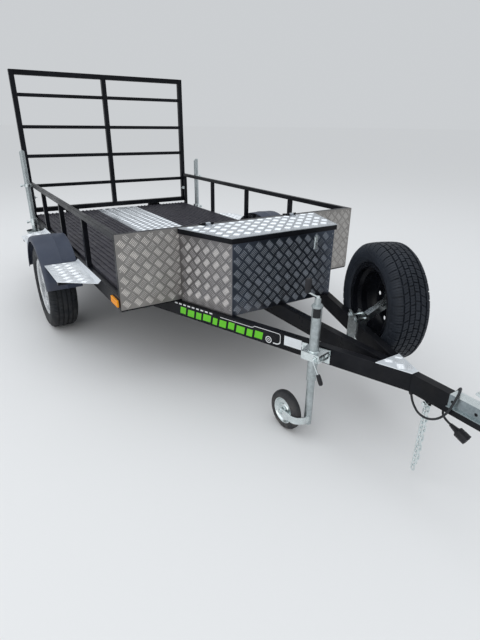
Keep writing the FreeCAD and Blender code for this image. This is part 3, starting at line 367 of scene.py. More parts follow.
# %% Zinc plating
def zinc(name, bright, dull, roughness, spangle=90.0):
    material, tree, shader = finish(name, bright, 0.4, metallic=1.0)
    cells = add_node(tree, "ShaderNodeTexVoronoi", [(surface_point(tree), "Vector")], in_Scale=spangle)
    tone = mix_colours(tree, cells.outputs["Color"], bright, dull)
    cloud = place_group(tree, mottle, Scale=16.0, Balance=0.55, Softness=0.25,
                        First=(1.0, 1.0, 1.0), Second=(0.72, 0.74, 0.74))
    stain = add_node(tree, "ShaderNodeMix", data_type="RGBA", blend_type="MULTIPLY")
    stain.inputs[0].default_value = 1.0
    tree.links.new(tone, stain.inputs[6])
    tree.links.new(cloud.outputs["Color"], stain.inputs[7])
    tree.links.new(stain.outputs[2], shader.inputs["Base Color"])
    surface(tree, shader, 22.0, roughness, 500.0, 0.15, 0.0003)
    return material


# Painted light: the bright zinc is real bright plating, whitened towards cyan as a painted highlight like
# the lit top of the coupling; the shaded zinc is its copy in painted shade for faces turned from the light.
zinc_dull = zinc("galvanised_steel", (0.60, 0.65, 0.66), (0.46, 0.50, 0.51), (0.38, 0.58))
zinc_bright_painted_lit = zinc("bright_zinc_painted_lit", (0.90, 0.96, 0.96), (0.80, 0.86, 0.87), (0.2, 0.36), 140.0)
zinc_shade = zinc("shaded_zinc", (0.34, 0.39, 0.41), (0.26, 0.30, 0.32), (0.3, 0.46), 140.0)
alloy = zinc("wheel_silver", (0.78, 0.79, 0.80), (0.70, 0.71, 0.73), (0.22, 0.34), 400.0)
print("zinc", [metal.name for metal in (zinc_dull, zinc_bright_painted_lit, zinc_shade, alloy)])

# %% [markdown]
# Tyres, moulded mudguards, the deck boards and the small plastics are dielectrics.
# Rubber and plastic differ mostly in roughness, in the size of their grain and in how dust lies on them.

# %% Rubber, plastic and deck finishes
def dull_dielectric(name, dark, light, roughness, grain_scale, grain_depth, dirt, dirt_height,
                    colour_scale=9.0):
    material, tree, shader = finish(name, dark, 0.6, IOR=1.5, Specular_IOR_Level=0.28)
    tone = place_group(tree, mottle, Scale=colour_scale, Balance=0.5, Softness=0.2, First=dark, Second=light)
    dust = place_group(tree, grime, Height=dirt_height, Fade=0.3, Scale=18.0, Amount=dirt)
    tree.links.new(mix_colours(tree, dust.outputs["Mask"], tone.outputs["Color"], (0.17, 0.15, 0.13)),
                   shader.inputs["Base Color"])
    surface(tree, shader, 12.0, roughness, grain_scale, 0.35, grain_depth)
    return material


tyre_rubber = dull_dielectric("tyre_rubber", (0.009, 0.011, 0.014), (0.020, 0.023, 0.028), (0.5, 0.75),
                              240.0, 0.0006, 0.2, 0.1)
spare_rubber = dull_dielectric("spare_tyre_rubber", (0.010, 0.013, 0.019), (0.022, 0.027, 0.037),
                               (0.42, 0.62), 240.0, 0.0006, 0.1, 0.1)
solid_rubber = dull_dielectric("jockey_tyre_rubber", (0.02, 0.021, 0.024), (0.04, 0.042, 0.046), (0.5, 0.7),
                               300.0, 0.0005, 0.45, 0.0)
mudguard_plastic = dull_dielectric("mudguard_plastic", (0.040, 0.050, 0.078), (0.056, 0.068, 0.100),
                                   (0.42, 0.56), 700.0, 0.0003, 0.2, 0.3, 4.0)
deck_ply = dull_dielectric("ribbed_deck_board", (0.013, 0.0125, 0.020), (0.034, 0.032, 0.046), (0.42, 0.62),
                           160.0, 0.0007, 0.14, 0.5, 16.0)
black_plastic = dull_dielectric("black_plastic", (0.012, 0.012, 0.014), (0.022, 0.022, 0.026), (0.35, 0.5),
                                500.0, 0.0003, 0.0, 0.0)
cable_sheath = dull_dielectric("cable_sheath", (0.016, 0.017, 0.020), (0.028, 0.030, 0.034), (0.4, 0.55),
                               500.0, 0.0003, 0.0, 0.0)
print("dull finishes", [stuff.name for stuff in (tyre_rubber, mudguard_plastic, deck_ply, black_plastic)])

# %% [markdown]
# Lenses and decals are smooth plastic with a clear skin. Real lenses let light through, but over a
# dark base that shows as a deep even colour, so an opaque shader with a thin coat is enough.
# The same helper serves the green and white film on the beam.

# %% Lamp lenses and decal colours
def lens(name, colour):
    material, tree, shader = finish(name, colour, 0.2, IOR=1.45, Specular_IOR_Level=0.3,
                                    Coat_Weight=0.15, Coat_Roughness=0.05)
    tone = place_group(tree, mottle, Scale=30.0, Balance=0.5, Softness=0.3, First=colour,
                       Second=tuple(value * 0.82 for value in colour))
    tree.links.new(tone.outputs["Color"], shader.inputs["Base Color"])
    return material


amber_lens = lens("amber_lens", (1.0, 0.36, 0.0))
red_lens = lens("red_lens", (0.42, 0.008, 0.008))
clear_lens = lens("clear_lens", (0.62, 0.62, 0.60))
decal_green = lens("green_film", (0.14, 0.62, 0.02))
decal_white = lens("white_film", (0.78, 0.79, 0.80))
print("lenses and films", [stuff.name for stuff in (amber_lens, red_lens, clear_lens, decal_green)])

# %% [markdown]
# A finished piece rides on a body of the packed model, gets its material and may hide the packed node
# that it stands for, so one helper always does these together.

# %% Helpers that add a piece
def add_piece(name, mesh, body, slot, material, *nodes):
    piece = bpy.data.objects.new(name, mesh)
    bpy.context.scene.collection.objects.link(piece)
    if not mesh.materials:
        mesh.materials.append(material)
    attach(piece, body)
    if nodes:
        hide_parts(*nodes)
    return piece


def mesh_from(name, points, faces, smooth=False):
    mesh = bpy.data.meshes.new(name)
    mesh.from_pydata([tuple(point) for point in points], [], faces)
    mesh.validate()
    mesh.update()
    for face in mesh.polygons:
        face.use_smooth = smooth
    return mesh


print("piece helpers", add_piece.__name__, mesh_from.__name__)

# %% [markdown]
# Square tube has rounded corners that catch the light as thin bright lines.
# The packed mesh has knife edges, so a copy of it is merged, cleaned of flat edges and bevelled,
# and the copy stands for the packed node. That keeps every size and needs no list of numbers.

# %% Helpers that round the edges of a packed node
def rounded(piece, width, segments=2, angle=30.0):
    bevel = piece.modifiers.new("rounded_edges", "BEVEL")
    bevel.width = width
    bevel.segments = segments
    bevel.limit_method = "ANGLE"
    bevel.angle_limit = math.radians(angle)
    bevel.harden_normals = True
    for face in piece.data.polygons:
        face.use_smooth = True
    return piece


def clean_copy(node):
    source = bmesh.new()
    source.from_mesh(frame["nodes"][node].data)
    bmesh.ops.remove_doubles(source, verts=source.verts, dist=1e-5)
    bmesh.ops.dissolve_limit(source, angle_limit=math.radians(0.4), verts=source.verts, edges=source.edges)
    source.verts.index_update()
    points = [point.co.copy() for point in source.verts]
    faces = [[point.index for point in face.verts] for face in source.faces]
    source.free()
    return mesh_from(node + "_shape", points, faces)


def round_off(node, width, material, segments=2, angle=30.0):
    piece = add_piece(node + "_finished", clean_copy(node), home[node], slot_of[node], material, node)
    return rounded(piece, width, segments, angle)


print("edge helpers", rounded.__name__, clean_copy.__name__, round_off.__name__)

# %% [markdown]
# Wheels, rods, bolts and hoses are all made from three moves: turn a profile round an axis,
# push an outline along a line, or sweep a circle along a path.
# One small builder collects such shells, so that a piece with many shells is still one mesh.

# %% A frame along a direction
def along_x(place, direction):
    # A frame whose X axis points along the direction
    turned = Vector(direction).normalized().to_track_quat("X", "Z").to_matrix().to_4x4()
    return Matrix.Translation(Vector(place)) @ turned


print("x axis now points along", tuple(along_x((0, 0, 0), (0, 0, 1)).to_3x3().col[0]))

# %% [markdown]
# The store keeps points and faces. Its grid joins rows of points to their neighbours, which is all
# that a turned or swept shell needs. The normals are made to point outwards once, with the mesh.

# %% A store of shells
class ShellStore:
    def __init__(self):
        self.points, self.faces = [], []

    def add(self, points, faces, place=None):
        start = len(self.points)
        self.points += [place @ Vector(point) if place else Vector(point) for point in points]
        self.faces += [tuple(start + number for number in face) for face in faces]

    def grid(self, rows, place=None, join_rows=True):
        # rows of equally many points, joined to their neighbours
        wide, high = len(rows[0]), len(rows)
        faces = []
        for i in range(high if join_rows else high - 1):
            for j in range(wide):
                k, m = (i + 1) % high, (j + 1) % wide
                faces.append((i * wide + j, i * wide + m, k * wide + m, k * wide + j))
        self.add([point for row in rows for point in row], faces, place)

    def close_ends(self, wide, high):
        # One face over the last row of the latest grid and one over its first
        end = len(self.points)
        self.faces.append(tuple(range(end - wide, end)))
        first = end - wide * high
        self.faces.append(tuple(range(first + wide - 1, first - 1, -1)))

    def mesh(self, name, sharp=32.0):
        mesh = bpy.data.meshes.new(name)
        mesh.from_pydata([tuple(point) for point in self.points], [], self.faces)
        work = bmesh.new()
        work.from_mesh(mesh)
        bmesh.ops.recalc_face_normals(work, faces=work.faces)
        work.to_mesh(mesh)
        work.free()
        mesh.shade_smooth()
        mesh.set_sharp_from_angle(angle=math.radians(sharp))
        return mesh

    def piece(self, name, body, slot, material, *nodes, sharp=32.0):
        # All shells as one object, whose mesh has the same name
        return add_piece(name, self.mesh(name, sharp), body, slot, material, *nodes)


print("store keeps", list(vars(ShellStore())))

# %% [markdown]
# A lathe turns a profile round an axis, and tubes, rods, washers and wheels are all made that way.
# An open profile gives a solid with two closed ends, and a closed one gives a ring.
# A hexagon is the same move in six steps, with the chamfered corners of a forged nut.

# %% Turned shells
class TurnedShells(ShellStore):
    def rings(self, profile, steps):
        return [[(u, r * math.sin(2 * math.pi * k / steps), r * math.cos(2 * math.pi * k / steps))
                 for k in range(steps)] for u, r in profile]

    def turned(self, profile, steps=64, place=None):
        # profile runs once round the solid part as (distance along X, radius)
        self.grid(self.rings(profile, steps), place)

    def solid_turned(self, profile, steps=32, place=None):
        # profile runs from one end of the axis to the other; both ends are closed
        self.grid(self.rings(profile, steps), place, join_rows=False)
        self.close_ends(steps, len(profile))

    def hexagon(self, place, direction, across, height, washer=0.0):
        # A nut or bolt head with chamfered corners, standing on the place
        frame_here = along_x(place, direction)
        r = across / math.sqrt(3.0)
        rings = [(0.0, r), (height * 0.82, r), (height, r * 0.86)]
        rows = [[(u, s * math.cos(math.pi * k / 3), s * math.sin(math.pi * k / 3)) for k in range(6)]
                for u, s in rings]
        if washer:
            self.solid_turned([(0.0, washer), (height * 0.2, washer)], 24, frame_here)
        self.grid(rows, frame_here, join_rows=False)
        self.close_ends(6, len(rows))


print("turned", [name for name in vars(TurnedShells) if not name.startswith("_")])

# %% [markdown]
# Sheets and blocks are an outline pushed along a line. Rods, hooks and links are a circle swept
# along a path. Blender's curve bevel could sweep too, but then each rod would be its own object;
# swept rows join the other shells of the piece in one mesh.

# %% Pushed and swept shells
class Shells(TurnedShells):
    def pushed(self, outline, along, place=None):
        count = len(outline)
        top = [tuple(a + b for a, b in zip(point, along)) for point in outline]
        faces = [tuple(range(count)), tuple(range(2 * count - 1, count - 1, -1))]
        faces += [(k, (k + 1) % count, count + (k + 1) % count, count + k) for k in range(count)]
        self.add(list(outline) + top, faces, place)

    def block(self, low, high, place=None):
        (x0, y0, z0), (x1, y1, z1) = low, high
        self.pushed([(x0, y0, z0), (x1, y0, z0), (x1, y1, z0), (x0, y1, z0)], (0, 0, z1 - z0), place)

    def swept(self, path, radius, sides=16, place=None, closed=False):
        # A round bar along a path; the frame is carried on so that it doesn't twist
        path = [Vector(point) for point in path]
        count = len(path)
        rows, side = [], None
        for k, point in enumerate(path):
            before = path[k - 1] if k or closed else point
            after = path[(k + 1) % count] if k < count - 1 or closed else point
            way = (after - before).normalized()
            if side is None:
                side = way.orthogonal().normalized()
            side = (side - way * side.dot(way)).normalized()
            other = way.cross(side)
            rows.append([point + side * radius * math.cos(2 * math.pi * n / sides)
                         + other * radius * math.sin(2 * math.pi * n / sides) for n in range(sides)])
        self.grid(rows, place, join_rows=closed)
        if not closed:
            self.close_ends(sides, count)


print("pushed and swept", [name for name in vars(Shells) if not name.startswith("_")])

# %% [markdown]
# A bent bar has round corners, because it is bent over a former. Each corner of the path gives way
# to a short curve that leaves both legs smoothly.

# %% Round corners for a bent bar
def bend(corners, radius, steps=6):
    # The corners of a bent bar, each rounded to the radius
    corners = [Vector(corner) for corner in corners]
    path = [corners[0]]
    for before, corner, after in zip(corners, corners[1:], corners[2:]):
        a, b = (before - corner).normalized(), (after - corner).normalized()
        half = a.angle(b) / 2
        back = min(radius / math.tan(half), (before - corner).length * 0.49, (after - corner).length * 0.49)
        first, last = corner + a * back, corner + b * back
        for k in range(steps + 1):
            t = k / steps
            path.append(first * (1 - t) ** 2 + corner * 2 * t * (1 - t) + last * t ** 2)
    return path + [corners[-1]]


print("points of one bend", len(bend([(0, 0, 0), (1, 0, 0), (1, 1, 0)], 0.1)))

# %% [markdown]
# A tyre is a ring of rows: the tread rows drop where a groove or a slot runs, and the sidewall rows
# step in and out by a millimetre, which gives the moulded rings. Columns lie close together
# at the walls of the slots, so that the blocks have crisp edges.
# The spare wears a winter tread of blocks, the two road tyres a summer tread of plain ribs.

# %% Numbers of the treads and sidewalls
tyre_low, tyre_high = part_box("tyre_right")
tyre_radius = tyre_high.z / 2
wheel_place = (tyre_low + tyre_high) / 2

winter_ribs = [(-86, -57, 0, 3), (-49, -29, 9, 21), (-22, -3, 2, 6), (2, 22, 21, 17), (29, 49, 3, -9),
               (57, 86, 17, 20)]
summer_ribs = [(-86, -49, 0, 6), (-40, -20, 0, 0), (-11, 11, 0, 0), (20, 40, 0, 0), (49, 86, 6, 12)]
# each column is (share of the pitch, in the slot, in the fine cut)
winter_columns = [(0.0, 0, 0), (0.025, 1, 0), (0.135, 1, 0), (0.16, 0, 0), (0.40, 0, 0), (0.41, 0, 1),
                  (0.43, 0, 1), (0.44, 0, 0), (0.70, 0, 0), (0.71, 0, 1), (0.73, 0, 1), (0.74, 0, 0)]
summer_columns = [(0.0, 0, 0), (0.03, 1, 0), (0.13, 1, 0), (0.16, 0, 0), (0.55, 0, 0), (0.58, 0, 1),
                  (0.64, 0, 1), (0.67, 0, 0)]
sidewall = [(88.2, 256.0), (89.0, 247.0), (89.0, 241.0), (88.2, 240.2), (88.2, 238.8), (89.0, 238.0),
            (88.4, 228.0), (87.2, 221.0), (86.0, 220.4), (85.4, 215.0), (85.9, 214.2), (84.6, 209.0),
            (81.0, 203.5), (77.5, 199.0), (73.0, 196.5), (70.0, 195.0)]
tyre_inside = [(69.7, 178.5), (57.0, 179.0), (76.0, 232.0), (60.0, 271.0)]
print("tyre radius", round(tyre_radius, 4), "ribs", len(winter_ribs), len(summer_ribs))

# %% [markdown]
# The tread is slightly round, so that it wears evenly, and drops faster at its shoulders.
# The rows run once round the section: left sidewall, tread, right sidewall and the hidden inside.

# %% Rows across a tyre
def crown(u):
    # Radius of the tread surface in millimetres at a distance from the middle plane
    flat = 1000 * tyre_radius - 3.0 * (u / 64.0) ** 2
    over = max(0.0, abs(u) - 62.0)
    return flat - over ** 2 * 0.038


def tyre_rows(ribs, groove_depth, slots_in):
    # Each row is (distance, radius, depth, slot share, fine cut share, shift along the tread)
    wall = 1.4
    rows = []
    for number, (u0, u1, s0, s1) in enumerate(ribs):
        slot, fine = slots_in[number]
        if number:
            rows.append((u0 - wall, crown(u0), groove_depth, 0, 0, s0))
        for share in (0.0, 0.34, 0.67, 1.0):
            u = u0 + (u1 - u0) * share
            rows.append((u, crown(u), 0.0, slot, fine, s0 + (s1 - s0) * share))
        if number < len(ribs) - 1:
            rows.append((u1 + wall, crown(u1), groove_depth, 0, 0, s1))
    left, right = [], []
    for number, (u, r) in enumerate(sidewall):
        slot = (0.8, 0.35)[number] if number < 2 else 0.0
        right.append((u, r, 0.0, slot * slots_in[-1][0], 0, ribs[-1][3]))
        left.append((-u, r, 0.0, slot * slots_in[0][0], 0, ribs[0][2]))
    inside_left = [(-u, r, 0.0, 0, 0, 0) for u, r in tyre_inside]
    inside_right = [(u, r, 0.0, 0, 0, 0) for u, r in reversed(tyre_inside)]
    return list(reversed(left)) + rows + right + list(reversed(inside_right)) + list(reversed(inside_left))


print("the crown drops", round(crown(0) - crown(86), 2), "mm to its shoulder")

# %% [markdown]
# The section is then carried round the axle, and each point drops where a groove, slot or fine cut
# runs. A displaced surface would need millions of faces for the same edges; here the points stand
# only where the tread has an edge.

# %% Tyre meshes
def tyre_mesh(name, ribs, columns, pitches, groove_depth, slot_depth, fine_depth, slots_in):
    shells = Shells()
    grid = []
    for u, r, depth, slot, fine, shift in tyre_rows(ribs, groove_depth, slots_in):
        line = []
        for pitch in range(pitches):
            for share, in_slot, in_fine in columns:
                drop = max(depth, slot_depth * slot * in_slot, fine_depth * fine * in_fine)
                turn = 2 * math.pi * (pitch + share) / pitches + shift / (1000 * tyre_radius)
                here = (r - drop) / 1000
                line.append((u / 1000, here * math.sin(turn), here * math.cos(turn)))
        grid.append(line)
    shells.grid(grid)
    mesh = shells.mesh(name, 40.0)
    print(name, len(mesh.polygons), "faces")
    return mesh


winter_tyre = tyre_mesh("winter_tyre", winter_ribs, winter_columns, 44, 8.0, 7.0, 2.5,
                        [(1, 1), (1, 1), (1, 1), (1, 1), (1, 1), (1, 1)])
summer_tyre = tyre_mesh("summer_tyre", summer_ribs, summer_columns, 62, 7.5, 4.5, 2.0,
                        [(1, 1), (0, 1), (0, 0), (0, 1), (1, 1)])

# %% [markdown]
# Both road wheels wear the same tyre, so one mesh is copied and moved to each packed tyre's place.
# Each copy rides on its own wheel's body and turns with it.

# %% Road tyres
for side, body in ((-1, "wheel_left"), (1, "wheel_right")):
    mesh = summer_tyre.copy()
    mesh.transform(Matrix.Translation((side * wheel_place.x, wheel_place.y, wheel_place.z)))
    add_piece("road_" + body.replace("wheel", "tyre"), mesh, body, "tyre_rubber", tyre_rubber,
              body.replace("wheel", "tyre"))
print("wheel centre", [round(value, 3) for value in wheel_place])

# %% [markdown]
# The spare hangs on the right-hand beam and is turned with it. Its middle is that of the packed tyre,
# and its turn is the lean of the beam, which follows from the boxes of the beams.
# All shells of the spare are built upright round the X axis and then moved by this one frame.

# %% Frame of the spare wheel and its tyre
beams_low, beams_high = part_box("drawbar_v_beams")
centre_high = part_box("drawbar_centre_beam")[1]
beam_lean = math.atan2(beams_high.x - centre_high.x, beams_high.y - beams_low.y)
spare_low, spare_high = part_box("spare_tyre")
spare_middle = (spare_low + spare_high) / 2
spare_frame = Matrix.Translation(spare_middle) @ Matrix.Rotation(-beam_lean, 4, "Z")
print("spare stands", [round(value, 3) for value in spare_middle])
print("beam leans", round(math.degrees(beam_lean), 2))
winter_tyre.transform(spare_frame)
add_piece("spare_winter_tyre", winter_tyre, "chassis", "tyre_rubber", spare_rubber, "spare_tyre")

# %% [markdown]
# The road wheels are cast alloy: a barrel with a drop centre, five pairs of tapered spokes that
# run from the hub to the lip, a centre cap and five bolts set back in their holes.
# Every spoke is lofted through a few crowned sections, which is how the light finds its ridge.

# %% Rim profile and one spoke
spoke_pairs = 5
bolt_circle = 0.0500
spoke_root, spoke_end = 0.052, 0.1735
rim_profile = [(-0.076, 0.1905), (-0.0755, 0.195), (-0.072, 0.1955), (-0.0705, 0.193), (-0.0695, 0.178),
               (-0.045, 0.1765), (-0.032, 0.1585), (0.023, 0.1585), (0.038, 0.1765), (0.0695, 0.178),
               (0.0705, 0.193), (0.072, 0.1955), (0.0755, 0.195), (0.076, 0.1915), (0.0725, 0.1895),
               (0.0715, 0.178), (0.068, 0.1735), (0.040, 0.1715), (0.026, 0.1535), (-0.034, 0.1535),
               (-0.047, 0.1715), (-0.0715, 0.173)]


def spoke(shells, turn, foot, tip):
    # Sections from hub to rim: (radius, half width, front, back)
    stations = [(0.052, 0.0150, 0.060, 0.036), (0.075, 0.0125, 0.063, 0.038), (0.105, 0.0098, 0.064, 0.041),
                (0.135, 0.0088, 0.062, 0.040), (0.160, 0.0098, 0.060, 0.037), (0.1735, 0.0130, 0.058, 0.034)]
    rows = []
    for r, half, front, back in stations:
        share = (r - spoke_root) / (spoke_end - spoke_root)
        side = foot + (tip - foot) * share
        section = [(-1.0, 0.0), (-0.92, 0.75), (-0.55, 0.97), (0.0, 1.0), (0.55, 0.97), (0.92, 0.75),
                   (1.0, 0.0), (0.7, -0.1), (-0.7, -0.1)]
        row = []
        for across, depth in section:
            row.append((back + (front - back) * max(0.0, depth), side + across * half, r))
        rows.append(row)
    shells.grid(rows, Matrix.Rotation(turn, 4, "X"), join_rows=False)


print("a spoke is", round(spoke_end - spoke_root, 4), "m long")

# %% [markdown]
# Five turns of the same pair of spokes give the wheel its star. The bolts sit back between the
# pairs, each in a round seat, and a low cap closes the hub. The bolts and cap are pieces of their
# own, because they are of another metal than the casting.

# %% Whole wheel, its bolts and its cap
def alloy_wheel(name):
    shells = Shells()
    shells.turned(rim_profile, 96)
    for number in range(spoke_pairs):
        turn = 2 * math.pi * number / spoke_pairs
        spoke(shells, turn, -0.011, -0.0165)
        spoke(shells, turn, 0.011, 0.0165)
        bolt = Matrix.Rotation(turn + math.pi / spoke_pairs, 4, "X")
        seat = [(0.040, 0.0125), (0.0575, 0.0125), (0.0585, 0.0115), (0.0585, 0.0100), (0.046, 0.0095),
                (0.040, 0.0095)]
        shells.turned(seat, 20, bolt @ Matrix.Translation((0, 0, bolt_circle)))
    shells.turned([(0.036, 0.031), (0.036, 0.062), (0.040, 0.0665), (0.0545, 0.0655), (0.0585, 0.0625),
                   (0.0600, 0.038), (0.0585, 0.034), (0.054, 0.031)], 64)
    return shells.mesh(name, 38.0)


def wheel_bolts(name):
    shells = Shells()
    for number in range(spoke_pairs):
        turn = Matrix.Rotation(2 * math.pi * (number + 0.5) / spoke_pairs, 4, "X")
        turn = turn @ Matrix.Translation((0.042, 0, bolt_circle))
        shells.solid_turned([(0.0, 0.0088), (0.004, 0.0088)], 20, turn)
        shells.hexagon((0.004, 0, 0), (1, 0, 0), 0.015, 0.010)
        for index in range(len(shells.points) - 18, len(shells.points)):
            shells.points[index] = turn @ shells.points[index]
    return shells.mesh(name)


def centre_cap(name):
    shells = Shells()
    shells.solid_turned([(0.056, 0.0305), (0.0605, 0.0305), (0.0625, 0.0285), (0.0632, 0.0270),
                         (0.0632, 0.012), (0.0636, 0.0)], 48)
    return shells.mesh(name)


print("wheel parts", [part.__name__ for part in (alloy_wheel, wheel_bolts, centre_cap)])

# %% [markdown]
# The wheel is built once with its face towards +X. For the left side it is turned half round,
# so that both faces look outwards, and it rides on that side's wheel body.

# %% Road wheels in place
wheel_cap_finish = plate_metal("wheel_cap_silver", (0.62, 0.63, 0.64), (0.52, 0.53, 0.55), 0.0, (0.25, 0.4))
for side, body in ((-1, "wheel_left"), (1, "wheel_right")):
    hand = body.split("_")[1]
    place = Matrix.Translation((side * wheel_place.x, wheel_place.y, wheel_place.z))
    if side < 0:
        place = place @ Matrix.Rotation(math.pi, 4, "Z")
    for mesh, slot, material, nodes in (
            (alloy_wheel("alloy_wheel_" + hand), "alloy", alloy, ["rim_" + hand]),
            (wheel_bolts("wheel_bolts_" + hand), "zinc_steel", zinc_bright_painted_lit, []),
            (centre_cap("wheel_cap_" + hand), "alloy", wheel_cap_finish, [])):
        mesh.transform(place)
        add_piece(mesh.name + "_piece", mesh, body, slot, material, *nodes)
print("spoke pairs", spoke_pairs, "bolt circle", bolt_circle)

# %% [markdown]
# The spare has a plain black steel rim: a rolled barrel and a pressed dish with ten round vent holes.
# A hole can't be turned, so the dish round each hole is a patch of its own: rows of points run from
# the hole's edge out to the borders of its tenth of the ring.

# %% Dish with round vents
dish_front = [(0.033, 0.0450), (0.060, 0.0450), (0.084, 0.0465), (0.090, 0.0500), (0.098, 0.0525),
              (0.113, 0.0522), (0.128, 0.0505), (0.136, 0.0440), (0.146, 0.0240), (0.1555, -0.0040)]
dish_sheet = 0.0045
vent_count, vent_ring, vent_hole = 10, 0.113, 0.0112
dish_inner, dish_outer = 0.0955, 0.1300


def dish_height(r):
    for (r0, x0), (r1, x1) in zip(dish_front, dish_front[1:]):
        if r <= r1:
            share = max(0.0, (r - r0) / (r1 - r0))
            return x0 + (x1 - x0) * share
    return dish_front[-1][1]


def dish_patch(shells, turn):
    # From the hole's edge to the border of the sector, between the radii on both sides of the ring
    half = math.pi / vent_count
    count, layers = 32, 5
    lines = []
    for layer in range(layers + 1):
        share = layer / layers
        line = []
        for k in range(count):
            a = 2 * math.pi * k / count
            c, s = math.cos(a), math.sin(a)
            hole_r = vent_ring + vent_hole * s
            hole_a = vent_hole * c / vent_ring
            stretch = 1.0 / max(abs(c), abs(s))
            edge_a = half * c * stretch
            border = dish_outer - vent_ring if s > 0 else vent_ring - dish_inner
            edge_r = vent_ring + s * stretch * border
            line.append((hole_r + (edge_r - hole_r) * share, hole_a + (edge_a - hole_a) * share + turn))
        lines.append(line)
    front = [[(dish_height(r), r * math.sin(a), r * math.cos(a)) for r, a in line] for line in lines]
    back = [[(x - dish_sheet, y, z) for x, y, z in line] for line in front]
    lip = [[(x - 0.0012, y, z) for x, y, z in front[0]]]
    shells.grid(list(reversed(front)) + lip + back, join_rows=False)


print("vents", vent_count, "dish height at their ring", round(dish_height(vent_ring), 4))

# %% [markdown]
# The rest of the dish is turned on both sides of the ring of vents, in many steps, so that the
# patches and the turned rings meet without a visible step. The barrel is the alloy rim's profile.

# %% Steel rim of the spare
def steel_rim_mesh(name):
    shells = Shells()
    shells.turned(rim_profile, 96)
    fronts = [(x, r) for r, x in dish_front]
    inner = [point for point in fronts if point[1] < dish_inner] + [(dish_height(0.0957), 0.0957)]
    outer = [(dish_height(0.1298), 0.1298)] + [point for point in fronts if point[1] > dish_outer]
    for part in (inner, outer):
        shells.turned(part + [(x - dish_sheet, r) for x, r in reversed(part)], 160)
    for number in range(vent_count):
        dish_patch(shells, 2 * math.pi * (number + 0.5) / vent_count)
    return shells.mesh(name, 40.0)


spare_rim_mesh = steel_rim_mesh("spare_steel_rim")
spare_rim_mesh.transform(spare_frame)
add_piece("spare_black_rim", spare_rim_mesh, "chassis", "black_steel_rim", steel_black, "spare_rim")
print("spare rim faces", len(spare_rim_mesh.polygons))

# %% [markdown]
# The mudguards are vacuum-formed sheets of tough plastic: a smooth arch with one crease along it,
# a rounded shoulder and a lip that turns down on the outside.
# One cross-section, turned part of the way round the wheel's axle, gives the whole sheet.

# %% Mudguards
def fender_mesh(name, low, high, outward):
    middle_y = (low.y + high.y) / 2
    inner_x, outer_x = (low.x, high.x) if outward > 0 else (-high.x, -low.x)
    wide = outer_x - inner_x
    crest = 0.352
    ridge = inner_x + 0.42 * wide
    face = [(inner_x, crest - 0.003), (inner_x + 0.004, crest), (ridge - 0.010, crest + 0.0022),
            (ridge - 0.004, crest + 0.0035), (ridge, crest + 0.0046), (ridge + 0.004, crest + 0.0035),
            (ridge + 0.010, crest + 0.0022), (outer_x - 0.024, crest), (outer_x - 0.014, crest - 0.0018),
            (outer_x - 0.006, crest - 0.0065), (outer_x - 0.0018, crest - 0.014), (outer_x, crest - 0.022),
            (outer_x, crest - 0.034), (outer_x - 0.001, crest - 0.036), (outer_x - 0.003, crest - 0.036),
            (outer_x - 0.004, crest - 0.034)]
    back = [(outer_x - 0.004, crest - 0.023), (outer_x - 0.006, crest - 0.015),
            (outer_x - 0.010, crest - 0.0095), (outer_x - 0.016, crest - 0.0055),
            (outer_x - 0.026, crest - 0.004), (ridge + 0.010, crest - 0.0015), (ridge, crest + 0.0006),
            (ridge - 0.010, crest - 0.0015), (inner_x + 0.004, crest - 0.004), (inner_x, crest - 0.0045)]
    section = face + back
    steps, reach = 96, math.radians(77.6)
    rows = []
    for k in range(steps + 1):
        turn = -reach + 2 * reach * k / steps
        rows.append([(outward * x, middle_y + r * math.sin(turn), wheel_place.z + r * math.cos(turn))
                     for x, r in section])
    shells = Shells()
    shells.grid(rows, join_rows=False)
    count = len(section)
    shells.faces.append(tuple(range(count)))
    shells.faces.append(tuple(range(len(shells.points) - 1, len(shells.points) - 1 - count, -1)))
    return shells.mesh(name, 30.0)


for side, hand in ((-1, "left"), (1, "right")):
    low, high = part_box("fender_" + hand)
    add_piece("mudguard_" + hand, fender_mesh("mudguard_" + hand, low, high, side), "chassis",
              "mudguard_plastic", mudguard_plastic, "fender_" + hand)

# %% [markdown]
# The jockey wheel hangs on the left-hand beam. Its inner tube slides in the outer one, and a flat bar,
# bent round the front of the wheel, carries it by one bolt.
# Tubes, caps and the wheel are turned; the bar is a curved plan pushed upwards.

# %% Solid tyre of the jockey wheel
tube_low, tube_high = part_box("jockey_inner_tube")
jockey_x, jockey_y = (tube_low.x + tube_high.x) / 2, (tube_low.y + tube_high.y) / 2
inner_radius = (tube_high.x - tube_low.x) / 2
caster_low, caster_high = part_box("jockey_tyre")
caster_middle = (caster_low + caster_high) / 2
caster_half = (caster_high.x - caster_low.x) / 2

outward = Matrix.Translation(caster_middle) @ Matrix.Rotation(math.pi, 4, "Z")
shells = Shells()
half = caster_half
shells.turned([(-half + 0.002, 0.0645), (-half, 0.070), (-half, 0.080), (-half + 0.0015, 0.0875),
               (-half + 0.005, 0.0925), (-half + 0.011, 0.0955), (-0.006, 0.097), (0.006, 0.097),
               (half - 0.011, 0.0955), (half - 0.005, 0.0925), (half - 0.0015, 0.0875), (half, 0.080),
               (half, 0.070), (half - 0.002, 0.0645)], 96, outward)
shells.piece("jockey_solid_tyre", "jockey_wheel", "solid_rubber", solid_rubber, "jockey_tyre", sharp=50.0)
print("jockey tyre", round(2 * caster_half, 3), "m wide")

# %% [markdown]
# The wheel inside the tyre is two pressed steel dishes back to back, with a tube for the axle.
# One half's profile is turned twice, the second time mirrored.

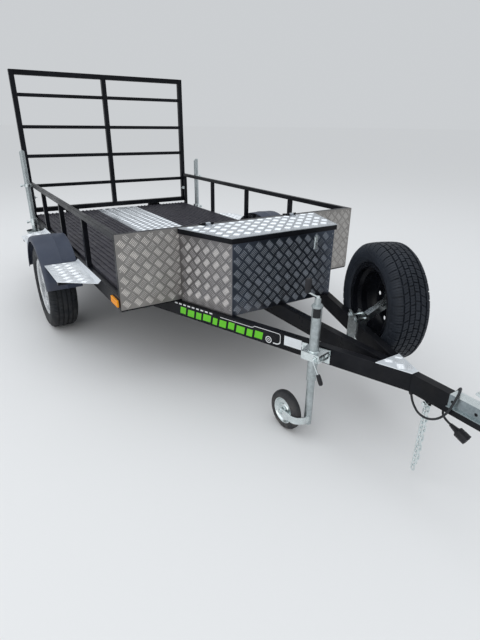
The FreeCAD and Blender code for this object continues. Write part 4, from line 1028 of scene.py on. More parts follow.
# %% Pressed disc of the jockey wheel
shells = Shells()
disc = [(0.0195, 0.064), (0.0205, 0.0635), (0.0205, 0.061), (0.0185, 0.0585), (0.0120, 0.0560),
        (0.0085, 0.0520), (0.0070, 0.0460), (0.0075, 0.0380), (0.0100, 0.0330), (0.0145, 0.0300),
        (0.0160, 0.0260), (0.0160, 0.0200), (0.0215, 0.0190), (0.0215, 0.0085)]
for hand in (1, -1):
    face = [(hand * u, r) for u, r in disc]
    back = [(hand * max(0.001, u - 0.004), r) for u, r in reversed(disc)]
    shells.turned(face + back, 72, outward)
shells.turned([(-0.0195, 0.0640), (0.0195, 0.0640), (0.0195, 0.0615), (-0.0195, 0.0615)], 72, outward)
shells.turned([(-0.0215, 0.0125), (0.0215, 0.0125), (0.0215, 0.0084), (-0.0215, 0.0084)], 32, outward)
shells.piece("jockey_disc", "jockey_wheel", "zinc_steel", zinc_bright_painted_lit, "jockey_rim")
print("disc profile points", len(disc))

# %% [markdown]
# The wheel is held on one side only, by a flat bar that is bent in plan from under the tube to the
# wheel's outer face. Its middle line is a bent path, and stepping sideways from it by half the
# bar's thickness gives the two faces.

# %% Plan of the bent bar
bar_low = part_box("jockey_fork")[0]
bar_face = bar_low.x + 0.008 + 0.0005
strap_height = 0.036
trail = caster_middle.y - jockey_y
plan = bend([(jockey_x - 0.006, jockey_y - 0.012, 0), (jockey_x - 0.040, jockey_y - 0.013, 0),
             (bar_low.x + 0.0155, jockey_y + 0.010, 0), (bar_face + 0.004, jockey_y + 0.060, 0),
             (bar_face + 0.004, caster_middle.y, 0)], 0.060, 10)
outer_line, inner_line = [], []
for before, here, after in zip([plan[0]] + plan, plan, plan[1:] + [plan[-1]]):
    way = (after - before).normalized()
    side = Vector((-way.y, way.x, 0)) * 0.0035
    outer_line.append(here - side)
    inner_line.append(here + side)
print("points in the plan", len(plan))

# %% [markdown]
# Eight points round the bar's section, carried along the plan, leave small bevels on its edges.
# A round eye ends the bar, and one bolt with a washer and a nut goes through it and the wheel.

# %% Bent bar, its eye and its bolt
strap_corner = 0.0012
shells = Shells()
rows = []
for outer_point, inner_point in zip(outer_line, inner_line):
    z0, z1 = caster_middle.z - strap_height / 2, caster_middle.z + strap_height / 2
    near, far = outer_point.lerp(inner_point, 0.2).xy, outer_point.lerp(inner_point, 0.8).xy
    z_low, z_high = z0 + strap_corner, z1 - strap_corner
    rows.append([(*outer_point.xy, z_low), (*outer_point.xy, z_high), (*near, z1), (*far, z1),
                 (*inner_point.xy, z_high), (*inner_point.xy, z_low), (*far, z0), (*near, z0)])
shells.grid(rows, join_rows=False)
shells.faces.append(tuple(range(8)))
shells.faces.append(tuple(range(len(shells.points) - 1, len(shells.points) - 9, -1)))
eye = along_x((bar_face + 0.0075, caster_middle.y, caster_middle.z), (-1, 0, 0))
shells.solid_turned([(0.0, strap_height / 2 - 0.001), (0.0006, strap_height / 2), (0.0064, strap_height / 2),
                     (0.007, strap_height / 2 - 0.001)], 40, eye)
shells.hexagon((bar_face + 0.0005, caster_middle.y, caster_middle.z), (-1, 0, 0), 0.019, 0.0075, 0.0135)
shells.solid_turned([(0.0, 0.0079), (caster_half * 2 + 0.016, 0.0079)], 24,
                    along_x((bar_face + 0.004, caster_middle.y, caster_middle.z), (1, 0, 0)))
shells.hexagon((caster_high.x + 0.0012, caster_middle.y, caster_middle.z), (1, 0, 0), 0.019, 0.008, 0.013)
shells.turned([(0.0, 0.0130), (0.0045, 0.0130), (0.0045, 0.0084), (0.0, 0.0084)], 32,
              along_x((bar_face + 0.0075, caster_middle.y, caster_middle.z), (1, 0, 0)))
shells.piece("jockey_bar", "jockey_caster", "zinc_steel", zinc_bright_painted_lit, "jockey_fork")
print("jockey wheel trails", round(trail, 3))

# %% [markdown]
# A short piece of the inner tube shows between the bar and the outer tube, with the end of the
# screw inside it. It turns with the wheel, so it rides on the caster's body.

# %% Tube above the bent bar
upright = along_x((jockey_x, jockey_y, 0), (0, 0, 1))
shells = Shells()
shells.turned([(0.0660, inner_radius - 0.001), (0.0670, inner_radius), (0.1480, inner_radius),
               (0.1485, inner_radius - 0.0005), (0.1485, inner_radius - 0.003),
               (0.0660, inner_radius - 0.003)], 48, upright)
shells.solid_turned([(0.1470, 0.0088), (0.1890, 0.0088)], 24, upright)
shells.piece("jockey_foot_tube", "jockey_caster", "zinc_steel", zinc_dull)
print("inner tube radius", round(inner_radius, 4))

# %% [markdown]
# The outer tube is open below, with a collar and a cap that hold the crank's bearing on top.
# All three are round, so one closed profile is turned for the tube and one open one for the cap.

# %% Outer tube, collar and cap
outer_low, outer_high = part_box("jockey_outer_tube")
outer_radius = 0.0215
top = outer_high.z
shells = Shells()
shells.turned([(outer_low.z, inner_radius + 0.0006), (outer_low.z, outer_radius - 0.0006),
               (outer_low.z + 0.0008, outer_radius), (top - 0.0405, outer_radius),
               (top - 0.0400, outer_radius + 0.0020), (top - 0.0385, outer_radius + 0.0027),
               (top - 0.0315, outer_radius + 0.0027), (top - 0.0300, outer_radius + 0.0015),
               (top - 0.0300, inner_radius + 0.0006)], 64, upright)
shells.solid_turned([(top - 0.0300, 0.0200), (top - 0.0262, 0.0200), (top - 0.0252, 0.0190),
                     (top - 0.0248, 0.0140), (top - 0.0240, 0.0135), (top - 0.0018, 0.0135),
                     (top - 0.0002, 0.0120)], 48, upright)
shells.piece("jockey_sleeve", "chassis", "zinc_steel", zinc_dull, "jockey_outer_tube")
print("outer tube ends at", round(top, 3))

# %% [markdown]
# The crank is a thin rod, bent up at its end, with a barrel of black plastic that turns in the hand.
# It is parked at the angle seen in the picture: the path is written in the crank's own frame and
# that frame is turned as a whole.

# %% Crank and its grip
crank_turn = math.radians(142.4)
crank_reach = 0.044
crank_frame = Matrix.Translation((jockey_x, jockey_y, top)) @ Matrix.Rotation(crank_turn, 4, "Z")
shells = Shells()
shells.solid_turned([(0.0, 0.0080), (0.0085, 0.0080), (0.0098, 0.0068)], 32,
                    crank_frame @ along_x((0, 0, 0), (0, 0, 1)))
shells.swept(bend([(0.0, 0, 0.005), (crank_reach, 0, 0.026), (crank_reach, 0, 0.044)], 0.006), 0.0035, 16,
             crank_frame)
shells.piece("crank_rod", "chassis", "zinc_steel", zinc_bright_painted_lit, "jockey_crank")
grip = Shells()
grip.solid_turned([(0.0, 0.0095), (0.0015, 0.0115), (0.010, 0.0128), (0.030, 0.0145), (0.050, 0.0142),
                   (0.0575, 0.0125), (0.0605, 0.0095), (0.0612, 0.004)], 40,
                  crank_frame @ along_x((crank_reach, 0, 0.0245), (0, 0, 1)))
grip.piece("crank_grip", "chassis", "plug_plastic", black_plastic, sharp=60.0)
print("crank turned by", round(math.degrees(crank_turn), 1), "degrees")

# %% [markdown]
# Most of the trailer is welded tube that is right in size already and only lacks rounded corners.
# Each node is rounded as one mesh, so that the bevel also runs along the joints of the tubes.

# %% Square tubes and welded frames
tube_corner = 0.0035
for node in ("side_rails", "cross_members", "guard_rails", "guard_posts", "gate_uprights", "gate_bars",
             "drawbar_v_beams", "drawbar_centre_beam", "axle_beam", "fender_brackets"):
    round_off(node, tube_corner, frame_black)
for node in ("axle_arms", "gate_hinges", "lid_frame", "lid_hinges"):
    round_off(node, 0.0015, frame_black)
print("corner radius of the tubes", tube_corner)

# %% [markdown]
# Folded sheet has a much smaller edge than tube. The tool box front stands in the shade of the lid
# and the coupling's sides look away from the light, so their faces get a darker finish of their
# own, chosen by the direction that each face looks.

# %% Sheet parts and zinc fittings
for node, material in (("front_wall", plate_wall), ("toolbox_body", plate_box), ("lid_plate", plate_painted_lit),
                       ("deck_strip", plate_painted_lit), ("step_plates", step_plate_painted_lit),
                       ("drawbar_gusset", step_plate_painted_lit)):
    piece = round_off(node, 0.0008, material, segments=1)
    if node == "toolbox_body":
        piece.data.materials.append(plate_shade)
        for face in piece.data.polygons:
            face.material_index = 1 if face.normal.y < -0.9 else 0
for node in ("coupling_head", "coupling_handle", "toolbox_latch", "stand_clamps", "spare_bracket",
             "gate_latches"):
    piece = round_off(node, 0.0012, zinc_bright_painted_lit)
    if node == "coupling_head":
        piece.data.materials.append(zinc_shade)
        for face in piece.data.polygons:
            face.material_index = 1 if abs(face.normal.x) > 0.97 and face.center.y > -1.95 else 0

# %% [markdown]
# Some packed meshes are good as they are: the deck boards with their ribs, the hubs and the sliding
# tube. They only need a finish, which takes the place of the packed one.

# %% Packed nodes that keep their mesh
kept_nodes = {
    "deck_boards": deck_ply, "jockey_inner_tube": zinc_dull, "hub_left": zinc_dull, "hub_right": zinc_dull}
for node, material in kept_nodes.items():
    packed = frame["nodes"][node]
    packed.data.materials.clear()
    packed.data.materials.append(material)
print("kept", list(kept_nodes))

# %% [markdown]
# The lead leaves a gland under the centre beam, sags, goes once round the coupling and ends in its plug.
# It is one smooth spline led by a few chosen points, because a cable bends evenly under its own weight.

# %% The lead
wall_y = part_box("front_wall")[1].y
lead_diameter = 0.009
# millimetres from the middle, from the head board's rear face and from the ground
lead_route = [(-8, -1190, 362), (-11, -1199, 343), (-20, -1221, 326), (-33, -1252, 316), (-38, -1290, 318),
              (-40, -1324, 335), (-42, -1352, 364), (-43, -1371, 400), (-43, -1381, 434), (-33, -1384, 462),
              (-10, -1379, 478), (16, -1366, 478), (37, -1350, 458), (43, -1334, 426), (40, -1320, 392),
              (30, -1313, 362), (17, -1318, 340), (8, -1338, 328), (10, -1362, 318)]
lead_points = [Vector((x / 1000, wall_y + y / 1000, z / 1000)) for x, y, z in lead_route]
lead_data = bpy.data.curves.new("lead", "CURVE")
lead_data.dimensions = "3D"
lead_data.bevel_depth = lead_diameter / 2
lead_data.bevel_resolution = 4
lead_data.resolution_u = 8
spline = lead_data.splines.new("NURBS")
spline.points.add(len(lead_points) - 1)
for spot, point in zip(spline.points, lead_points):
    spot.co = (*point, 1.0)
spline.order_u = 3
spline.use_endpoint_u = True
lead = bpy.data.objects.new("lead", lead_data)
bpy.context.scene.collection.objects.link(lead)
lead_data.materials.append(cable_sheath)
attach(lead, "chassis")
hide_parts("lead_cable")
print("lead points", len(lead_points))

# %% [markdown]
# The plug is a moulded seven-pole trailer plug: a ribbed strain relief, a shoulder with grip grooves,
# and a round body with a collar at its open end. It is turned round the last stretch of the lead.

# %% Seven-pole plug
lead_end, lead_before = lead_points[-1], lead_points[-2]
plug_frame = along_x(lead_end, lead_end - lead_before)
shells = Shells()
relief_rings = [(0.0, 0.0050), (0.0006, 0.0074)]
relief_count, relief_pitch, grip_ridges, plug_poles = 5, 0.0048, 12, 7
for k in range(relief_count):
    u = 0.002 + relief_pitch * k
    r = 0.0076 + 0.0008 * k
    relief_rings += [(u, r), (u + 0.0028, r + 0.0004), (u + 0.0032, r - 0.0012), (u + 0.0044, r - 0.0012)]
shells.solid_turned(relief_rings + [(0.0270, 0.0118), (0.0300, 0.0122), (0.0335, 0.0190), (0.0355, 0.0203),
                                    (0.0400, 0.0207), (0.0405, 0.0198), (0.0425, 0.0198), (0.0430, 0.0207),
                                    (0.0475, 0.0207), (0.0480, 0.0198), (0.0500, 0.0198), (0.0505, 0.0207),
                                    (0.0690, 0.0203), (0.0695, 0.0210), (0.0770, 0.0210), (0.0780, 0.0204)],
                    40, plug_frame)
for k in range(grip_ridges):
    ridge = plug_frame @ Matrix.Rotation(2 * math.pi * k / grip_ridges, 4, "X")
    shells.block((0.0515, -0.0012, 0.0195), (0.0685, 0.0012, 0.0209), ridge)
for k in range(plug_poles):
    # six poles on a circle and the last one in the middle
    a = 2 * math.pi * k / (plug_poles - 1)
    r = 0.0110 if k < plug_poles - 1 else 0.0
    shells.solid_turned([(0.0, 0.0018), (0.0016, 0.0018)], 10,
                        plug_frame @ Matrix.Translation((0.0779, r * math.cos(a), r * math.sin(a))))
lead_plug = shells.piece("seven_pole_plug", "chassis", "plug_plastic", black_plastic, "lead_plug",
                         sharp=40.0)
print("plug poles", plug_poles)

# %% [markdown]
# Where the lead enters the beam, a plastic gland grips it: a hexagon to turn, and a round nut with a
# soft ring. It is turned along the first stretch of the lead, so that the lead leaves it straight.

# %% Gland of the lead
shells = Shells()
gland_frame = along_x(lead_points[0], lead_points[0] - lead_points[1])
shells.turned([(-0.0010, 0.0047), (-0.0010, 0.0060), (0.0010, 0.0078), (0.0045, 0.0084),
               (0.0045, 0.0047)], 32, gland_frame)
shells.hexagon(gland_frame @ Vector((0.0045, 0, 0)), gland_frame.to_3x3() @ Vector((1, 0, 0)),
               0.0172, 0.0060)
shells.solid_turned([(0.0, 0.0082), (0.0045, 0.0082)], 32, gland_frame @ Matrix.Translation((0.0095, 0, 0)))
shells.piece("cable_gland_nut", "chassis", "lead_rubber", black_plastic, "cable_gland")
print("gland at", [round(value, 3) for value in lead_points[0]])

# %% [markdown]
# The chosen points, added up, give the length of the lead.

# %% Length of the lead
lead_length = sum((b - a).length for a, b in zip(lead_points, lead_points[1:]))
print("lead runs added up", round(lead_length, 3))

# %% [markdown]
# Five-bar chequer plate is rolled with groups of five lens-shaped bars; each group is turned
# a quarter against its neighbours, and the sheet is cut so that the groups stand on their corners.
# The bars are modelled, because they are what breaks up the reflections on every plate.

# %% One chequer bar
cell = 0.044
bars_per_cell = 5
bar_pitch = 0.0080
bar_half_length = 0.0180
bar_half_width = 0.0022
bar_height = 0.0016
edge_gap = 0.002


def inside(point, outline, margin):
    for (x0, y0), (x1, y1) in zip(outline, outline[1:] + outline[:1]):
        edge = math.hypot(x1 - x0, y1 - y0)
        if ((x1 - x0) * (point[1] - y0) - (y1 - y0) * (point[0] - x0)) / edge < margin:
            return False
    return True


def bar_points(centre, along, sideways):
    tips = [(-1.0, 0.0, 0.0), (-0.6, -1.0, 0.0), (0.6, -1.0, 0.0), (1.0, 0.0, 0.0), (0.6, 1.0, 0.0),
            (-0.6, 1.0, 0.0), (-0.58, 0.0, 1.0), (0.58, 0.0, 1.0)]
    return [(centre[0] + along[0] * u * bar_half_length + sideways[0] * v * bar_half_width,
             centre[1] + along[1] * u * bar_half_length + sideways[1] * v * bar_half_width,
             h * bar_height) for u, v, h in tips]


def rectangle(wide, high):
    return [(0, 0), (wide, 0), (wide, high), (0, high)]


bar_faces = [(0, 1, 6), (1, 2, 7, 6), (2, 3, 7), (3, 4, 7), (4, 5, 6, 7), (5, 0, 6)]
print("faces of one bar", len(bar_faces))

# %% [markdown]
# The helper fills any outline. It walks over the cells of the pattern, keeps the bars whose two ends
# lie inside the outline, and leaves out those in a hidden patch. An image of bars would be lighter,
# but it shows no highlights on the bars' flanks.

# %% A field of chequer bars
def chequer(name, corner, across, up, outline, material, body="chassis", keep_out=()):
    # outline runs anticlockwise in plate coordinates from the corner; the bars stand on across x up
    across, up = Vector(across).normalized(), Vector(up).normalized()
    normal = across.cross(up)
    diagonal = math.sqrt(0.5)
    a, b = (diagonal, diagonal), (-diagonal, diagonal)
    reach = int(max(abs(v) for point in outline for v in point) * 1.5 / cell) + 2
    points, faces = [], []
    for i in range(-reach, reach + 1):
        for j in range(-reach, reach + 1):
            along, sideways = (a, b) if (i + j) % 2 else (b, a)
            for k in range(bars_per_cell):
                shift = (k - (bars_per_cell - 1) / 2) * bar_pitch
                centre = [cell * (i * a[n] + j * b[n]) + sideways[n] * shift for n in (0, 1)]
                ends = [[centre[n] + sign * along[n] * bar_half_length for n in (0, 1)] for sign in (-1, 1)]
                if not all(inside(end, outline, edge_gap) for end in ends):
                    continue
                if any(x0 < centre[0] < x1 and y0 < centre[1] < y1 for x0, x1, y0, y1 in keep_out):
                    continue
                start = len(points)
                for x, y, h in bar_points(centre, along, sideways):
                    points.append(Vector(corner) + across * x + up * y + normal * h)
                faces += [tuple(start + n for n in face) for face in bar_faces]
    add_piece(name, mesh_from(name, points, faces), body, "chequer_plate", material)
    print(name, len(faces) // len(bar_faces), "bars")


print("five bars are", round((bars_per_cell - 1) * bar_pitch + 2 * bar_half_width, 4), "m wide")

# %% [markdown]
# The large sheets get their bars first. The head board is covered behind the tool box, where no
# bars are needed. The lid's outline narrows to the front, as the box does.

# %% Chequer on the head board, deck strip and lid
wall_low, wall_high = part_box("front_wall")
box_low, box_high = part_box("toolbox_body")
wall_width, wall_height = wall_high.x - wall_low.x, wall_high.z - wall_low.z
box_back_half, box_front_half = box_high.x, 0.326
behind_box = (wall_width / 2 - box_back_half, wall_width / 2 + box_back_half, -1.0, box_high.z - wall_low.z)
chequer("head_board_bars", (wall_low.x, wall_low.y, wall_low.z), (1, 0, 0), (0, 0, 1),
        rectangle(wall_width, wall_height), bars_wall, keep_out=[behind_box])
strip_low, strip_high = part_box("deck_strip")
strip_width, strip_length = strip_high.x - strip_low.x, strip_high.y - strip_low.y
chequer("deck_strip_bars", (strip_low.x, strip_low.y, strip_high.z), (1, 0, 0), (0, 1, 0),
        rectangle(strip_width, strip_length), bars_painted_lit)
lid_low, lid_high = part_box("lid_frame")
lid_taper = 0.448 - box_front_half
lid_front_half = lid_high.x - lid_taper
lid_depth = lid_high.y - lid_low.y
lid_outline = [(lid_high.x - lid_front_half, 0), (lid_high.x + lid_front_half, 0),
               (2 * lid_high.x, lid_depth), (0, lid_depth)]
chequer("lid_bars", (lid_low.x, lid_low.y, lid_high.z + 0.003), (1, 0, 0), (0, 1, 0), lid_outline,
        bars_painted_lit, "toolbox_lid")
print("lid front", round(2 * lid_front_half, 3), "m wide")

# %% [markdown]
# The tool box has three visible sides, and its two flanks are slanted. Each flank is laid out from
# one upright edge to the other, with the first edge chosen so that the bars stand outwards.

# %% Chequer on the tool box
box_height = box_high.z - box_low.z
chequer("box_front_bars", (-box_front_half, box_low.y, box_low.z), (1, 0, 0), (0, 0, 1),
        rectangle(2 * box_front_half, box_height), bars_shade)
side_run = math.hypot(box_back_half - box_front_half, box_high.y - box_low.y)
for side, name in ((-1, "left"), (1, "right")):
    back_corner = Vector((side * box_back_half, box_high.y, box_low.z))
    front_corner = Vector((side * box_front_half, box_low.y, box_low.z))
    first, second = (back_corner, front_corner) if side < 0 else (front_corner, back_corner)
    chequer("box_side_bars_" + name, first, second - first, (0, 0, 1),
            rectangle(side_run, box_height), bars_box)
print("a flank is", round(side_run, 3), "m long")

# %% [markdown]
# The treads of the four side steps and the small plate at the nose are the same chequer plate, cut
# with slanted ends. Their corners come from the packed boxes, and the bars are laid inside the outline.

# %% Chequer on the steps and the nose plate
step_low, step_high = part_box("step_plates")
step_in, step_out, tread_top = 0.803, step_high.x, 0.518
step_wide, step_cut, step_long = step_out - step_in, 0.140, 0.5075
rear_start = 2 * wheel_place.y - (step_low.y + step_long)
for hand, corner_x in (("right", step_in), ("left", -step_out)):
    near, far = (0.0, step_cut) if hand == "right" else (step_cut, 0.0)
    chequer("front_step_bars_" + hand, (corner_x, step_low.y, tread_top), (1, 0, 0), (0, 1, 0),
            [(0, near), (step_wide, far), (step_wide, step_long), (0, step_long)], step_bars_painted_lit)
    chequer("rear_step_bars_" + hand, (corner_x, rear_start, tread_top), (1, 0, 0), (0, 1, 0),
            [(0, 0), (step_wide, 0), (step_wide, step_long - far), (0, step_long - near)], step_bars_painted_lit)
nose_low, nose_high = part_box("drawbar_gusset")
nose_wide, nose_long = nose_high.x - nose_low.x, nose_high.y - nose_low.y
nose_tip_half = 0.019
chequer("nose_plate_bars", (nose_low.x, nose_low.y, nose_high.z), (1, 0, 0), (0, 1, 0),
        [(nose_wide / 2 - nose_tip_half, 0), (nose_wide / 2 + nose_tip_half, 0), (nose_wide, nose_long),
         (0, nose_long)], step_bars_painted_lit)
print("a step is", round(step_wide, 3), "by", step_long, "m")

# %% [markdown]
# The head board and the tool box are riveted. A blind rivet shows as a small low dome,
# so one dome is turned and set along the edges at an even pitch.

# %% A row of rivets
rivet_profile = [(0.0, 0.0042), (0.0006, 0.0042), (0.0014, 0.0034), (0.0019, 0.0020), (0.0021, 0.0006)]


def rivets(name, places, direction, material):
    shells = Shells()
    for place in places:
        shells.solid_turned(rivet_profile, 12, along_x(place, direction))
    shells.piece(name, "chassis", "chequer_plate", material, sharp=50.0)
    print(name, len(places))


print("a rivet stands out by", rivet_profile[-1][0], "m")

# %% [markdown]
# The head board has a row along its top tube and a few down each side; the box has them up its
# four corners. The places are worked out from a first place and a pitch, as they were marked out.

# %% Rivets of the head board and the tool box
top_first, top_pitch, top_height = -0.74, 0.148, 0.843
side_first, side_pitch, side_reach = 0.50, 0.085, 0.772
box_first, box_pitch, box_rivet_count = 0.485, 0.064, 6
board_rivets = [(top_first + top_pitch * k, wall_low.y, top_height) for k in range(11)]
board_rivets += [(side * side_reach, wall_low.y, side_first + side_pitch * k) for side in (-1, 1)
                 for k in range(4)]
rivets("head_board_rivets", board_rivets, (0, -1, 0), bars_wall)
front_rivets = [(side * 0.314, box_low.y, box_first + box_pitch * k) for side in (-1, 1)
                for k in range(box_rivet_count)]
rivets("box_front_rivets", front_rivets, (0, -1, 0), bars_shade)
for side, name in ((-1, "left"), (1, "right")):
    back_corner = Vector((side * box_back_half, box_high.y, 0))
    front_corner = Vector((side * box_front_half, box_low.y, 0))
    way = (front_corner - back_corner).normalized()
    out = Vector((-side * way.y, side * way.x, 0)) * -1.0
    if out.x * side < 0:
        out = -out
    places = []
    for along in (0.014, side_run - 0.014):
        for k in range(box_rivet_count):
            spot = back_corner + way * along
            places.append((spot.x, spot.y, box_first + box_pitch * k))
    rivets("box_side_rivets_" + name, places, out, bars_box)

# %% [markdown]
# The safety chain hangs from a bow shackle whose bolt goes through the lug under the beam.
# The bow is a round bar with four bends, swept along its path. The bolt and the eyes are turned,
# and the bolt's head and nut are hexagons.

# %% Bow shackle
shackle_low, shackle_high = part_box("chain_shackle")
chain_y = (shackle_low.y + shackle_high.y) / 2
bolt_z, bow_z = 0.363, 0.336
shells = Shells()
shells.solid_turned([(0.0, 0.0058), (0.052, 0.0058), (0.053, 0.0050)], 24,
                    along_x((-0.026, chain_y, bolt_z), (1, 0, 0)))
shells.hexagon((-0.0255, chain_y, bolt_z), (-1, 0, 0), 0.0165, 0.0070)
shells.hexagon((0.0245, chain_y, bolt_z), (1, 0, 0), 0.0165, 0.0070)
for side in (-1, 1):
    shells.turned([(-0.0045, 0.0062), (-0.0045, 0.0098), (-0.0036, 0.0106), (0.0036, 0.0106),
                   (0.0045, 0.0098), (0.0045, 0.0062)], 32,
                  along_x((side * 0.019, chain_y, bolt_z), (1, 0, 0)))
bow = bend([(-0.019, chain_y, bolt_z - 0.006), (-0.0215, chain_y, bow_z + 0.008), (-0.010, chain_y, bow_z),
            (0.010, chain_y, bow_z), (0.0215, chain_y, bow_z + 0.008),
            (0.019, chain_y, bolt_z - 0.006)], 0.012, 8)
shells.swept(bow, 0.0045, 16)
shells.piece("bow_shackle", "chassis", "zinc_steel", zinc_bright_painted_lit, "chain_shackle")
print("shackle at", round(chain_y, 3))

# %% [markdown]
# A link is a round wire bent to a long loop: two half circles joined by straight sides.
# The chain hangs doubled, so there are two strands of links, each hung a little lower than the last.
# Each link is turned against its neighbour, as in a slack chain, and every pair still clears.

# %% Safety chain
link_long, link_wide, link_wire, link_slack = 0.0150, 0.0066, 0.0031, 0.0003
link_path = []
for k in range(28):
    a = 2 * math.pi * k / 28
    link_path.append((link_wide * math.cos(a),
                      link_wide * math.sin(a) + math.copysign(link_long - link_wide, math.sin(a + 1e-6))))
chain = Shells()
for side, count in ((-1, 13), (1, 12)):
    height = bow_z + 0.0045 + link_wire - link_long
    for k in range(count):
        turn = math.radians(90.0 if k % 2 == 0 else 28.0 * side)
        place = Matrix.Translation((side * 0.0096, chain_y, height)) @ Matrix.Rotation(turn, 4, "Z")
        chain.swept([(x, 0, z) for x, z in link_path], link_wire, 10, place, closed=True)
        height -= 2 * (link_long - link_wire) - link_slack
chain.piece("doubled_chain", "chassis", "zinc_steel", zinc_bright_painted_lit, "safety_chain", sharp=60.0)
print("chain ends at", round(min(point.z for point in chain.points), 4))

# %% [markdown]
# The jockey wheel's clamp is a folded bracket bolted to the outer face of the beam: a top sheet
# with a bore for the tube, a front and two slotted sides, a split ring, and a hand screw
# whose lever hangs down with a black grip. A sheet with a bore is a loop of four rings of points.

# %% A sheet with a bore
clamp_frame = Matrix.Translation((jockey_x, jockey_y, 0)) @ Matrix.Rotation(beam_lean, 4, "Z")
beam_face = 0.0445


def bored_sheet(shells, outline, radius, z0, z1, place):
    # outline runs round the bore at the origin, in metres
    angles = sorted({round(2 * math.pi * k / 48, 4) for k in range(48)}
                    | {round(math.atan2(y, x) % (2 * math.pi), 4) for x, y in outline})
    edge = []
    for a in angles:
        c, s = math.cos(a), math.sin(a)
        best = 1.0
        for (x0, y0), (x1, y1) in zip(outline, outline[1:] + outline[:1]):
            cross = c * (y1 - y0) - s * (x1 - x0)
            if abs(cross) > 1e-9:
                far = (x0 * (y1 - y0) - y0 * (x1 - x0)) / cross
                share = (x0 * s - y0 * c) / cross
                if far > 0 and -1e-3 <= share <= 1.001:
                    best = min(best, far)
        edge.append((best * c, best * s))
    hole = [(radius * math.cos(a), radius * math.sin(a)) for a in angles]
    shells.grid([[(x, y, z1) for x, y in hole], [(x, y, z1) for x, y in edge],
                 [(x, y, z0) for x, y in edge], [(x, y, z0) for x, y in hole]], place)


print("clamp frame turned by", round(math.degrees(beam_lean), 2), "degrees")

# %% [markdown]
# The bracket is folded from one sheet. Its shelf holds the split ring round the tube; its front and
# sides hang from the shelf, and the sides have long slots. A slot is what is left between strips
# and short posts, which needs no cutting.

# %% Bracket of the clamp
shells = Shells()
clamp_sheet, plate_face = 0.004, 0.0385
strip_low, strip_high = (0.4130, 0.4215), (0.4390, 0.4452)
post_low, post_high = 0.4213, 0.4392
shelf = [(-0.0417, -0.0475), (0.0331, -0.0580), (beam_face, -0.0580), (beam_face, 0.0500), (-0.0368, 0.0407)]
bored_sheet(shells, shelf, 0.0222, 0.4450, 0.4490, clamp_frame)
for (x0, y0), (x1, y1) in ((shelf[0], shelf[1]), (shelf[3], shelf[4]), (shelf[4], shelf[0])):
    run = Vector((x1 - x0, y1 - y0, 0))
    wall = clamp_frame @ Matrix.Translation((x0, y0, 0)) @ Matrix.Rotation(math.atan2(run.y, run.x), 4, "Z")
    long = run.length
    front = x1 < -0.041
    shells.block((0, 0, strip_high[0]), (long, clamp_sheet, strip_high[1]), wall)
    shells.block((0, 0, strip_low[0]), (long, clamp_sheet, post_high if front else strip_low[1]), wall)
    for u0, u1 in ((0.0, 0.008), (long * 0.46, long * 0.58), (long - 0.008, long)):
        shells.block((u0, 0.0002, post_low), (u1, 0.0038, post_high), wall)
shells.turned([(0.4090, 0.0219), (0.4090, 0.0262), (0.4100, 0.0272), (0.4520, 0.0272), (0.4530, 0.0262),
               (0.4530, 0.0219)], 48, clamp_frame @ along_x((0, 0, 0), (0, 0, 1)))
shells.block((plate_face, -0.0620, 0.3830), (0.0443, 0.0780, 0.4490), clamp_frame)
print("bracket points", len(shells.points))

# %% [markdown]
# Small and large bolts fasten the bracket to the beam. The hand screw presses the tube fast; its
# lever is a rod bent downwards. They join the bracket's shells, as they are of the same metal.

# %% Bolts and hand screw of the clamp
screw_y, screw_z = -0.0270, 0.4300
off_beam = clamp_frame.to_3x3() @ Vector((-1, 0, 0))
for y in (0.0560, 0.0715):
    for z in (0.4030, 0.4300):
        shells.hexagon(clamp_frame @ Vector((plate_face, y, z)), off_beam, 0.0110, 0.0050, 0.0085)
for y in (-0.0400, 0.0300):
    shells.hexagon(clamp_frame @ Vector((plate_face, y, 0.3960)), off_beam, 0.0150, 0.0070, 0.0125)
shells.solid_turned([(0.0, 0.0065), (0.0330, 0.0065), (0.0340, 0.0055)], 24,
                    clamp_frame @ along_x((-0.0250, screw_y, screw_z), (-1, 0, 0)))
shells.turned([(0.0, 0.0070), (0.0, 0.0120), (0.0030, 0.0120), (0.0030, 0.0070)], 24,
              clamp_frame @ along_x((-0.0430, screw_y, screw_z), (-1, 0, 0)))
shells.swept(bend([(-0.0530, screw_y, 0.4340), (-0.0540, -0.0300, 0.4200), (-0.0530, -0.0560, 0.3690),
                   (-0.0530, -0.0600, 0.3600)], 0.012, 6), 0.0036, 14, clamp_frame)
shells.piece("jockey_clamp_bracket", "chassis", "zinc_steel", zinc_bright_painted_lit, "jockey_clamp")

grip = Shells()
grip.solid_turned([(0.0, 0.0070), (0.0015, 0.0088), (0.0100, 0.0097), (0.0280, 0.0103), (0.0420, 0.0098),
                   (0.0480, 0.0080), (0.0500, 0.0040)], 32,
                  clamp_frame @ along_x((-0.0530, -0.0560, 0.3700), (0, -0.39, -0.92)))
grip.piece("jockey_clamp_grip", "chassis", "plug_plastic", black_plastic, sharp=60.0)
print("clamp grip points", len(grip.points))

# %% [markdown]
# The outer face of the left-hand beam carries a blank silver data plate and a strip of green film
# blocks with a thin white line that ends in a ring. Film is thinner than a hair, but it is modelled
# a little thicker, so that it never flickers into the paint below.

# %% A flat line of film
film = 0.0004


def ribbon(shells, path, width):
    # A flat line along a path of (y, z) on the outer face of the beam
    path = [Vector((0, y, z)) for y, z in path]
    rows = []
    for k, here in enumerate(path):
        way = (path[min(k + 1, len(path) - 1)] - path[max(k - 1, 0)]).normalized()
        side = Vector((0, -way.z, way.y)) * width / 2
        raised = Vector((film, 0, 0))
        rows.append([here - side, here + side, here + side - raised, here - side - raised])
    shells.grid(rows, clamp_frame @ Matrix.Translation((beam_face, 0, 0)), join_rows=False)
    shells.close_ends(4, len(rows))


print("film thickness", film)

